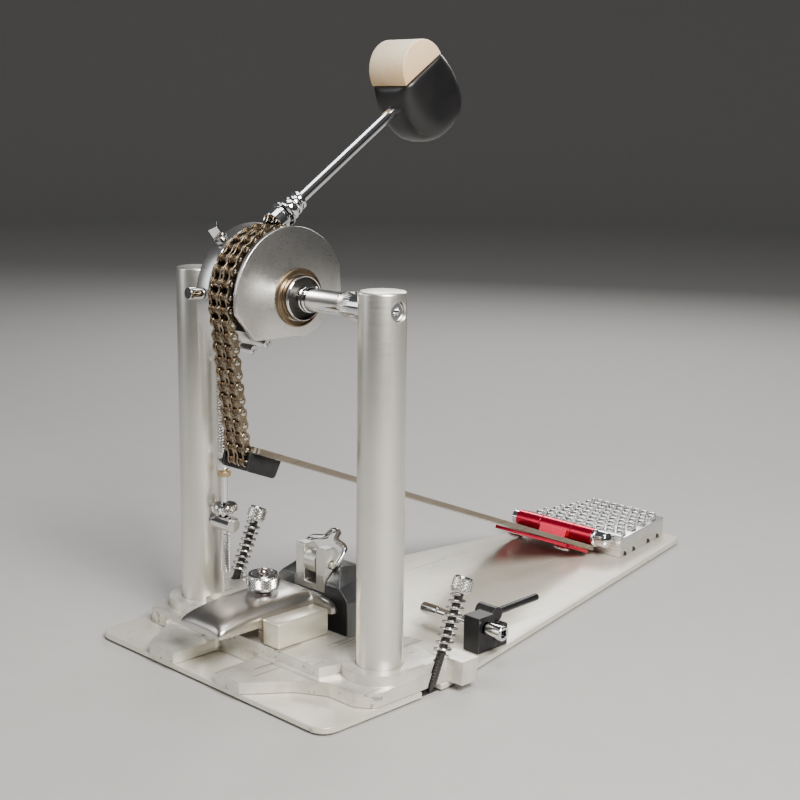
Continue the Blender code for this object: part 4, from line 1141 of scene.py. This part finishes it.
@dataclass
class RollerChain:
    """Double-strand roller chain: wrapped, swinging and straight links."""

    cam: Flat = (-4.0, AXLE_Z)
    radius: float = 33.6
    start: float = 187.17
    step: float = 10.844
    lean: float = 7.17
    pitch: float = 6.35
    half: float = 2.7
    waist: float = 1.9
    outer: tuple[Flat, ...] = ((-9.7, -8.65), (-2.85, -1.65), (4.15, 5.2))
    inner: tuple[Flat, ...] = ((-8.45, -7.45), (-4.05, -3.05), (-1.45, -0.45), (2.95, 3.95))
    rollers: tuple[Flat, ...] = ((-7.35, -4.15), (-0.35, 2.85))

    def wrapped(self, index: int) -> Flat:
        """Place of a pin round the cam, counted up from where the chain leaves it.

        Args:
            index: The pin's number.
        Returns:
            Its place in Y and Z.
        """
        t = math.radians(self.start - self.step * index)
        return self.cam[0] + self.radius * math.cos(t), self.cam[1] + self.radius * math.sin(t)

    def hanging(self, index: int) -> Flat:
        """Place of a pin on the straight run, counted down from the cam.

        Args:
            index: The pin's number.
        Returns:
            Its place in Y and Z.
        """
        top = self.wrapped(0)
        t = math.radians(self.lean)
        return top[0] + index * self.pitch * math.sin(t), top[1] - index * self.pitch * math.cos(t)

    def outline(self, one: Flat, two: Flat, half: float) -> list[Flat]:
        """Waisted link plate.

        Args:
            one: Its first pin.
            two: Its second pin.
            half: Half its height at the pins.
        Returns:
            Its outline.
        """
        along = math.degrees(math.atan2(two[1] - one[1], two[0] - one[0]))
        middle = Vector(((one[0] + two[0]) / 2, (one[1] + two[1]) / 2))
        across = Vector((-math.sin(math.radians(along)), math.cos(math.radians(along))))
        upper, lower = middle + across * self.waist, middle - across * self.waist
        first = arc(one, half, along + 68, along + 292, 16)
        last = arc(two, half, along - 112, along + 112, 16)
        return first + [tuple(lower)] + last + [tuple(upper)]

    def inner_link(self, shape: Shape, one: Flat, two: Flat) -> None:
        """Add inner plates and the rollers between them.

        Args:
            shape: The mesh that takes them.
            one: The link's first pin.
            two: Its second pin.
        """
        shape.paint = 0
        for low, high in self.inner:
            shape.plate(self.outline(one, two, self.half - 0.15), low, high, from_side, 0.18)
        shape.paint = 2
        for low, high in self.rollers:
            for y, z in (one, two):
                profile = [(0, low), (1.7, low), (1.95, low + 0.25), (1.95, high - 0.25), (1.7, high),
                           (0, high)]
                shape.lathe(profile, (0, y, z), (1, y, z), 20)

    def outer_link(self, shape: Shape, one: Flat, two: Flat, pins: Sequence[Flat]) -> None:
        """Add outer plates and riveted pins.

        Args:
            shape: The mesh that takes them.
            one: The link's first pin.
            two: Its second pin.
            pins: The pins that this link shows.
        """
        shape.paint = 0
        for low, high in self.outer:
            shape.plate(self.outline(one, two, self.half), low, high, from_side, 0.2)
        self.pins(shape, pins)

    def pins(self, shape: Shape, places: Sequence[Flat]) -> None:
        """Add pins whose ends are swaged over the outer plates.

        Args:
            shape: The mesh that takes them.
            places: Where they are in Y and Z.
        """
        shape.paint = 1
        for y, z in places:
            shape.lathe([(0, -10.2), (0.8, -10.2), (1.15, -10.05), (1.3, -9.75), (1.0, -9.6), (1.0, 5.1),
                         (1.3, 5.25), (1.15, 5.55), (0.8, 5.7), (0, 5.7)], (0, y, z), (1, y, z), 16)

    def link(self, name: str, body: str, node: str, pairs: Sequence[tuple[Flat, Flat]], first_outer: bool,
             extra: Sequence[Flat] = (), skip: Sequence[Flat] = ()) -> None:
        """Build the links of one body.

        Args:
            name: The piece's name.
            body: The body that it rides on.
            node: The CAD node that it replaces.
            pairs: The pins of each link.
            first_outer: Whether the first link is an outer one.
            extra: Pins that no outer link here holds.
            skip: Pins that another body shows.
        """
        shape = Shape()
        outer = first_outer
        for one, two in pairs:
            if outer:
                self.outer_link(shape, one, two, [p for p in (one, two) if p not in skip])
            else:
                self.inner_link(shape, one, two)
            outer = not outer
        self.pins(shape, extra)
        shape.piece(name, body, [CHAIN, PIN_STEEL, BRONZE], "chain", [node])

    def build(self) -> None:
        """Build the wrapped links, the six that leave the cam and the run down to the toe."""
        ring = [self.wrapped(i) for i in range(10)]
        down = [self.hanging(i) for i in range(13)]
        self.link("wrapped_links", "drive", "chain_wrap", list(zip(ring[6:9], ring[7:10])), False,
                  extra=[ring[9]])
        for index in range(1, 7):
            extra = [ring[0]] if index == 1 else []
            self.link(f"loose_link_{index}", f"link_{index}", f"chain_link_{index}",
                      [(ring[index - 1], ring[index])], index % 2 == 0, extra=extra)
        self.link("straight_run", "run", "chain_run", list(zip(down, down[1:])), True, skip=[down[0]])
        toe = [(0, -11.2), (0.9, -11.2), (1.1, -11.0), (1.1, 6.6), (0.9, 6.8), (0, 6.8)]
        turned("toe_pin", "board", PIN_STEEL, "chain", toe, ((0, *down[12]), (1, *down[12])), 28)


@dataclass
class Beater:
    """Rod, stepped collar, soft-cornered jacket and half-round pad."""

    angle: float = 33.8
    offset: float = 32.2
    x: float = -2.2
    head: float = 134.5
    pad_above: float = 11.9

    def at(self, along: float, above: float = 0.0, across: float = 0.0) -> Point:
        """Point beside the rod.

        Args:
            along: Distance along the rod.
            above: Distance above its line.
            across: Distance to the right of it.
        Returns:
            The point.
        """
        a = math.radians(self.angle)
        y = along * math.cos(a) - (self.offset + above) * math.sin(a)
        z = AXLE_Z + along * math.sin(a) + (self.offset + above) * math.cos(a)
        return self.x + across, y, z

    def build(self) -> None:
        """Build the collar, the rod and the head."""
        collar = [(3.4, 0), (6.6, 0), (6.9, 0.3), (6.9, 0.9), (6.6, 1.2), (5.2, 1.3), (5.2, 2.0), (5.7, 2.2),
                  (5.9, 2.6), (5.9, 4.8), (5.6, 5.1), (4.9, 5.4), (4.9, 6.2), (5.3, 6.5), (5.5, 6.9),
                  (5.5, 8.2), (5.2, 8.6), (4.5, 9.0), (4.5, 10.0), (4.9, 10.3), (5.0, 10.6), (5.0, 12.0),
                  (4.6, 12.6), (3.4, 12.6), (3.4, 0)]
        rod = [(0, 0), (2.8, 0), (3.1, 0.4), (3.1, 40), (3.1, 90), (3.1, 126.0), (2.8, 126.5), (0, 126.5)]
        turned("stepped_collar", "drive", CHROME, "chrome", collar, (self.at(23.5), self.at(60)), 72,
               ["beater_collar"])
        turned("polished_rod", "beater", CHROME, "chrome", rod, (self.at(20), self.at(100)), 56,
               ["beater_rod"])
        self.jacket()
        self.pad()

    def jacket(self) -> None:
        """Moulded jacket: a smooth loft from a square mouth to a round foot."""
        levels = [(11.5, 16.5, 13.9, 4.5), (11.1, 17.2, 14.3, 4.5), (9.8, 18.2, 14.55, 4.2),
                  (6.0, 20.0, 14.6, 3.9), (1.0, 21.6, 14.6, 3.6), (-5.0, 22.1, 14.6, 3.4),
                  (-11.0, 21.8, 14.6, 3.3), (-16.0, 20.7, 14.4, 3.1), (-20.0, 18.8, 13.8, 2.9),
                  (-23.2, 16.0, 12.6, 2.7), (-25.7, 12.4, 10.6, 2.5), (-27.4, 8.4, 7.8, 2.3),
                  (-28.3, 4.4, 4.4, 2.1)]
        lowest = -28.6
        shape = Shape()
        rings = [shape.ring([self.at(self.head, 11.5)])]
        for above, along, across, power in levels:
            shift = 0.3 + 1.7 * max(0.0, -above) / -lowest
            rings.append(shape.ring(
                self.at(self.head + (squared(math.cos(t), power) * along + shift), above,
                        squared(math.sin(t), power) * across) for t in round_turns(112)))
        rings.append(shape.ring([self.at(self.head + 2.0, lowest)]))
        shape.skin(rings)
        shape.piece("moulded_jacket", "beater", [JACKET], "jacket", ["beater_jacket"], sharp=60)

    def pad(self) -> None:
        """Half-round pad with softly broken edges and bare tan ends."""
        outline = arc((0, self.pad_above), 15.4, 0, 180, 60)
        shape = Shape()
        shape.plate(outline, -12.8, 12.8, lambda u, v, w: self.at(self.head + u, v, w), 0.7, 3)
        for face in shape.work.faces:
            face.normal_update()
            if abs(face.normal.x) > 0.95:
                face.material_index = 1
        shape.piece("half_round_pad", "beater", [PAD, PAD_END], "wood", ["beater_pad"])


@dataclass
class Footboard:
    """Long board, its hinge leaf and bolts, and the bracket under its toe."""

    hinge: Flat = (246.0, 16.0)
    below: float = 7.2
    angle: float = 21.56
    length: float = 291.0

    def at(self, across: float, along: float, out: float) -> Point:
        """Point in the board's frame.

        Args:
            across: X of the point.
            along: Distance up the board from the heel.
            out: Distance out of its upper face.
        Returns:
            The point.
        """
        a = math.radians(self.angle)
        y = self.hinge[0] - self.below * math.sin(a) - along * math.cos(a) + out * math.sin(a)
        z = self.hinge[1] - self.below * math.cos(a) + along * math.sin(a) + out * math.cos(a)
        return across, y, z

    def bracket(self) -> None:
        """Folded channel: two ears with rounded lower corners on a web."""
        low, high = self.length - 20.0, self.length + 0.8
        ear = rounded([(low, -1.75, 0.3), (low + 1.0, -11.2, 2.6), (high - 0.8, -11.2, 2.6),
                       (high, -1.75, 0.3)], 8)
        shape = Shape()
        for inner, outer in ((6.4, 8.0), (-12.5, -10.9)):
            shape.plate(ear, inner, outer, lambda u, v, w: self.at(w, u, v), 0.3, 2)
        web = [(low, -1.75), (low, -3.5), (self.length - 8.6, -3.5), (self.length - 8.6, -1.75)]
        shape.plate(web, -10.95, 6.45, lambda u, v, w: self.at(w, u, v), 0.2)
        shape.piece("toe_channel", "board", [BLACK], "black", ["toe_bracket"])

    def build(self) -> None:
        """Build the bracket and dress the board's other pieces."""
        recut(BOARD, "board", "board", "footboard", edge=0.35)
        recut(RED, "red", "board", "hinge_leaf", edge=0.4)
        recut(CHROME, "chrome", "board", "leaf_bolt_left", "leaf_bolt_right", edge=0.4)
        self.bracket()


@dataclass
class HeelHinge:
    """Red knuckles on a chrome pin, and the ribbed block behind them."""

    front: float = 252.2
    rear: float = 314.5
    front_sides: Flat = (-47.8, 29.8)
    rear_sides: Flat = (-36.0, 19.0)
    nub_rows: tuple[float, ...] = (260.6, 267.8, 275.0, 282.2, 289.4, 296.6, 303.8, 310.6)
    nubs_in_row: int = 9
    notch_places: tuple[float, ...] = (257.5, 270.0, 291.0, 305.0)

    def build(self) -> None:
        """Build the block and the hinge."""
        recut(RED, "red", "base", "heel_knuckle_left", "heel_knuckle_right", edge=0.35)
        recut(RED, "red", "board", "heel_knuckle_centre", edge=0.35)
        recut(CHROME, "chrome", "base", "heel_pin", "heel_nut_left", "heel_nut_right", edge=0.3)
        self.block()

    def side(self, y: float, sign: int) -> float:
        """X of the block's tapered side at a distance from the front.

        Args:
            y: Distance along the block.
            sign: 1 for the right side and -1 for the left.
        Returns:
            X of that side.
        """
        share = (y - self.front) / (self.rear - self.front)
        index = 1 if sign > 0 else 0
        return self.front_sides[index] + (self.rear_sides[index] - self.front_sides[index]) * share

    def block(self) -> None:
        """Milled block with a front rail, rows of rounded nubs, and thin dark half-moons low on its sides
        that are painted shade for half-moon notches.
        """
        shape = Shape()
        left, right = self.front_sides
        outline = [(left, self.front), (right, self.front), (self.rear_sides[1], self.rear),
                   (self.rear_sides[0], self.rear)]
        shape.plate(outline, 4.5, 16.6, from_above, 0.35, 2)
        rail = [(-47.6, self.front + 0.15), (29.6, self.front + 0.15), (28.9, self.front + 4.2),
                (-46.9, self.front + 4.2)]
        shape.plate(rail, 16.3, 18.6, from_above, 0.5, 2)
        shape.piece("milled_heel_block", "base", [HEEL], "satin", ["heel_block"])
        nubs = Shape()
        for row, y in enumerate(self.nub_rows):
            low, high = self.side(y, -1) + 0.6, self.side(y, 1) - 0.6
            pitch = (high - low) / self.nubs_in_row
            for i in range(self.nubs_in_row):
                x = low + pitch * (i + (0.5 if row % 2 == 0 else 0.0))
                left, right = max(low, x - pitch * 0.31), min(high, x + pitch * 0.31)
                if right - left > 1.2:
                    self.nub(nubs, left, right, y)
        nubs.piece("heel_nubs", "base", [HEEL], "satin")
        # Half-moon notches drawn as thin dark sheets on the sides: painted shade, not cut.
        notches = Shape()
        for sign in (1, -1):
            for y in self.notch_places:
                x = self.side(y, sign)
                moon = arc((y, 4.6), 3.0, 0, 180, 14)
                notches.plate(moon, x - 0.25, x + 0.12, from_side, 0.05)
        notches.piece("heel_notch_shade", "base", [CORE], "satin")

    def nub(self, shape: Shape, left: float, right: float, y: float) -> None:
        """Add one raised bar with a rounded back.

        Args:
            shape: The mesh that takes it.
            left: Its lowest X.
            right: Its highest X.
            y: Its middle.
        """
        crown = [(y + 2.2 * math.cos(t), 17.4 + 2.1 * math.sin(t))
                 for t in (math.radians(180 - 18 * i) for i in range(11))]
        back = [(y - 2.4, 16.4), *crown, (y + 2.4, 16.4)]
        shape.plate(back, left, right, from_side, 0.55, 2)


@dataclass
class HoopClamp:
    """Jaw, stud, knurled knob, bracket, cam and the lever's wire loop."""

    x: float = -4.7
    stud_y: float = -11.0
    knob_low: float = 38.3
    knob_high: float = 46.6
    knob_radius: float = 8.4
    lever: Flat = (26.0, 45.0)

    def build(self) -> None:
        """Build the clamp's pieces."""
        self.jaw()
        recut(SATIN, "satin", "base", "lever_bracket", edge=0.6)
        recut(SATIN, "satin", "lever", "lever_cam", edge=0.3)
        self.knob()
        self.loop()

    def jaw(self) -> None:
        """Cast jaw: a crowned tongue with a blunt lip in front and rounded wings behind."""
        stations = [(-52.5, 14.6, 27.6), (-52.2, 15.5, 29.0), (-51.0, 16.2, 30.7), (-48.5, 16.5, 32.2),
                    (-44.0, 16.6, 33.6), (-37.0, 16.6, 35.0), (-28.0, 16.6, 36.2), (-18.0, 16.6, 36.7),
                    (-6.0, 16.6, 36.8), (3.0, 16.6, 36.7), (8.9, 16.6, 36.2), (9.3, 20.5, 36.0),
                    (10.2, 24.0, 35.6), (11.8, 26.6, 34.6), (14.0, 27.3, 33.2), (16.2, 26.0, 31.8),
                    (18.2, 22.5, 30.3), (19.5, 17.0, 28.9), (20.0, 11.0, 27.8)]
        low, power = 25.4, 3.4
        shape = Shape()
        rings = []
        for y, half, top in stations:
            points = [(self.x + squared(math.cos(t), power) * half, y,
                       low + (top - low) * squared(math.sin(t), power))
                      for t in (math.pi * i / 48 for i in range(49))]
            points += [(self.x + half * (i / 4 - 1), y, low) for i in range(1, 8)]
            rings.append(shape.ring(points))
        shape.skin(rings)
        jaw = shape.piece("cast_jaw", "jaw", [PEWTER], "cast", ["clamp_jaw"], sharp=40)
        drill(jaw, (self.x, self.stud_y, 10), (self.x, self.stud_y, 60), 4.6)
        teeth = Shape()
        for i in range(15):
            middle = self.x - 14.0 + 2.0 * i
            tooth = [(middle - 0.95, 25.6), (middle, 24.7), (middle + 0.95, 25.6)]
            teeth.plate(tooth, -52.0, -38.0, lambda u, v, w: (u, w, v), 0.08)
        teeth.piece("jaw_teeth", "jaw", [PEWTER], "cast")

    def knob(self) -> None:
        """Knurled knob with a dark top face and a black disc of painted shade where its tommy hole is, over
        the domed stud.
        """
        x, y = self.x, self.stud_y
        low, high, r = self.knob_low, self.knob_high, self.knob_radius
        upright = ((x, y, 0), (x, y, 1))
        body = [(3.3, low), (r - 1.0, low), (r - 0.35, low + 0.5), (r - 0.35, low + 1.0),
                (r - 0.9, low + 1.2), (r - 0.9, high - 1.2), (r - 0.35, high - 1.0), (r - 0.35, high - 0.6),
                (r - 1.0, high), (r - 2.2, high), (r - 2.4, high - 0.5), (3.3, high - 0.5), (3.3, low)]
        turned("knob_body", "knob", CHROME, "chrome", body, upright, 64, ["clamp_knob"])
        knurled("knob_band", "knob", ((x, y, low + 1.1), (x, y, high - 1.1)), r, 0.45, 64, 8)
        t = math.radians(-112)
        ahead = (math.cos(t), math.sin(t), 0.0)
        middle = (low + high) / 2
        foot = (x + ahead[0] * 8.0, y + ahead[1] * 8.0, middle)
        # Black disc with a raised rim where the tommy hole is: painted shade standing in for the hole.
        rim = [(0, 0), (1.7, 0), (2.1, 0.45), (1.9, 0.5), (1.6, 0.2), (0, 0.2)]
        turned("tommy_hole_shade", "knob", BLACK, "black", rim,
               (foot, (foot[0] + ahead[0], foot[1] + ahead[1], middle)), 24)
        disc = [(3.3, high - 0.45), (r - 2.5, high - 0.45), (r - 2.6, high - 0.2), (3.3, high - 0.2),
                (3.3, high - 0.45)]
        turned("knob_top", "knob", BLACK, "black", disc, upright, 48)
        stud = [(0, 0), (3.0, 0), (3.0, 38.0), (2.85, 39.0), (2.4, 39.8), (1.6, 40.3), (0.8, 40.55),
                (0, 40.6)]
        turned("domed_stud", "base", PINK_STUD, "chrome", stud, ((x, y, 8.6), (x, y, 50)), 48, ["clamp_stud"])

    def loop(self) -> None:
        """Lever: one wire bent from pin to pin through a narrow finger loop."""
        y, z = self.lever
        half = [(14.6, 0.3, 0.3), (14.6, 3.5, 3.5), (14.4, 6.0, 6.1), (13.4, 7.8, 7.8), (11.4, 8.8, 8.7),
                (8.6, 9.3, 9.2), (5.8, 9.7, 9.6), (4.2, 10.2, 10.1), (3.5, 11.0, 10.8), (3.2, 12.2, 11.8),
                (2.6, 13.4, 12.9), (1.2, 14.0, 13.3)]
        path = [(self.x - dx, y + dy, z + dz) for dx, dy, dz in half]
        path += [(self.x + dx, y + dy, z + dz) for dx, dy, dz in reversed(half)]
        shape = Shape()
        shape.sweep(smooth_path(path), 1.5, 20)
        shape.piece("lever_loop", "lever", [CHROME], "chrome", ["clamp_lever"])


@dataclass
class Spurs:
    """Leaning anchor spurs with knurled heads and springs."""

    lean: float = 24.4
    foot_z: float = 16.5
    tip: float = -15.8
    coil_turns: float = 8.75
    coil_steps: int = 170
    places: tuple[tuple[str, Flat], ...] = (("right", (88.0, 22.5)), ("left", (-78.0, 30.0)))

    def build(self) -> None:
        """Build both spurs."""
        for side, (x, y) in self.places:
            a = math.radians(self.lean)

            def at(distance: float) -> Point:
                """Point on the spur's axis."""
                return x, y + distance * math.sin(a), self.foot_z + distance * math.cos(a)

            profile: list[Flat] = [(0, 0), (0.4, 0.1), (2.2, 4.2)]
            for turn in range(28):
                level = 6.0 + turn * 1.55
                profile += [(2.2, level), (1.95, level + 0.35), (2.2, level + 0.7)]
            profile += [(2.2, 50.2), (0, 50.2)]
            axis, body = (at(self.tip), at(60)), f"{side}_spur"
            head = [(0, 50.1), (4.4, 50.1), (4.8, 50.6), (4.8, 57.6), (4.4, 58.2), (3.6, 58.4), (0, 58.4)]
            turned(f"threaded_spur_{side}", body, STEEL, "chrome", profile, axis, 28, [f"spur_{side}"])
            turned(f"spur_head_{side}", body, CHROME, "chrome", head, axis, 48)
            knurled(f"spur_grip_{side}", body, (at(34.9), at(41.8)), 5.3, 0.55, 36, 8)
            self.spring(side, at)

    def spring(self, side: str, at: Callable[[float], Point]) -> None:
        """Open coil round the shank.

        Args:
            side: The spur's side.
            at: Gives a point on its axis.
        """
        _, across, other = axis_frame(at(0.0), at(1.0))
        path = []
        for i in range(self.coil_steps + 1):
            share = i / self.coil_steps
            t = share * self.coil_turns * 2 * math.pi
            level = 3.1 + 30.3 * share
            path.append(Vector(at(level)) + (across * math.cos(t) + other * math.sin(t)) * 3.85)
        shape = Shape()
        shape.sweep(path, 0.72, 10)
        shape.piece(f"spur_coil_{side}", "base", [SPRING_WIRE], "spring", [f"spur_spring_{side}"])


@dataclass
class ReturnSpring:
    """Close-wound spring between the crank's pin and the tension rod."""

    x: float = -49.5
    low: float = 101.0
    high: float = 152.0
    pin_z: float = 161.9
    radius: float = 3.0
    wire: float = 0.58
    turns: int = 32
    steps_in_turn: int = 14

    def build(self) -> None:
        """Build the spring and what pulls it down."""
        self.coil()
        self.rod()
        recut(CHROME, "chrome", "swivel", "spring_swivel", edge=0.3)
        self.nut()

    def coil(self) -> None:
        """Helix with a raised hook round the crank's pin and a small hook in the rod's eye."""
        x, low, pin = self.x, self.low, self.pin_z
        steps = self.turns * self.steps_in_turn
        coil: list[Point] = []
        for i in range(steps + 1):
            t = 2 * math.pi * i / self.steps_in_turn
            coil.append((x + self.radius * math.cos(t), self.radius * math.sin(t),
                         self.high - (self.high - low) * i / steps))
        hook = [(x, -2.35, pin - 0.6), (x, -1.6, pin + 1.7), (x, 0.0, pin + 2.4), (x, 1.7, pin + 1.7),
                (x, 2.35, pin), (x, 1.7, pin - 1.8), (x, 1.6, pin - 2.6), (x, 0.6, pin - 4.6),
                (x + 0.6, 0.0, pin - 7.0)]
        tail = [(x + 1.4, 0.0, low - 1.2), (x, 0.0, low - 2.4), (x, 0.9, low - 3.6), (x, 0.6, low - 5.2)]
        shape = Shape()
        shape.sweep(hook + coil + tail, self.wire, 8)
        piece = shape.piece("wound_spring", "spring", [SPRING_WIRE], "spring", ["return_spring"])
        piece.parent = None
        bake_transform(piece)

    def rod(self) -> None:
        """Threaded rod with an eye at its top."""
        x = self.x
        upright = ((x, 0, 0), (x, 0, 1))
        profile: list[Flat] = [(0, 33.6), (1.9, 33.6), (2.4, 34.2)]
        for turn in range(22):
            level = 34.6 + turn * 0.9
            profile += [(2.4, level), (2.1, level + 0.22), (2.4, level + 0.45)]
        profile += [(2.4, 55.2), (1.9, 55.6), (1.9, 89.6), (3.2, 91.2), (3.6, 93.6), (3.2, 96.5), (1.2, 97.1),
                    (0, 97.2)]
        collar = [(1.95, 87.4), (3.4, 87.4), (3.7, 87.8), (3.7, 89.8), (3.4, 90.2), (1.95, 90.2),
                  (1.95, 87.4)]
        turned("threaded_rod", "swivel", CHROME, "spring", profile, upright, 36, ["tension_rod"])
        turned("spring_ferrule", "swivel", TAN_RING, "spring", collar, upright, 36)

    def nut(self) -> None:
        """Flat knurled nut."""
        x, base = self.x, 66.6
        body = [(2.45, 0), (3.0, 0), (3.4, 0.8), (6.2, 0.9), (6.5, 1.3), (6.5, 4.9), (6.2, 5.4), (2.45, 5.4),
                (2.45, 0)]
        turned("tension_nut_body", "nut", CHROME, "chrome", body, ((x, 0, base), (x, 0, 90)), 48,
               ["tension_nut"])
        knurled("tension_nut_grip", "nut", ((x, 0, base + 1.2), (x, 0, base + 5.0)), 7.0, 0.4, 56, 4)


@dataclass
class Keys:
    """Drum key through its holder, and the hex key beside it."""

    def build(self) -> None:
        """Dress both keys."""
        recut(CHROME, "chrome", "key", "drum_key", edge=0.25)
        recut(BLACK, "black", "hex", "hex_key", edge=0.3)


def main() -> None:
    """Build the stage and every sub-assembly, in order."""
    logging.basicConfig(level=logging.INFO, format="%(name)s: %(message)s")
    for part in (Studio(), Base(), PostPair(), DriveHub(), RollerChain(), Beater(), Footboard(), HeelHinge(),
                 HoopClamp(), Spurs(), ReturnSpring(), Keys()):
        LOG.info("building %s", type(part).__name__)
        part.build()


if __name__ == "__main__":
    main()
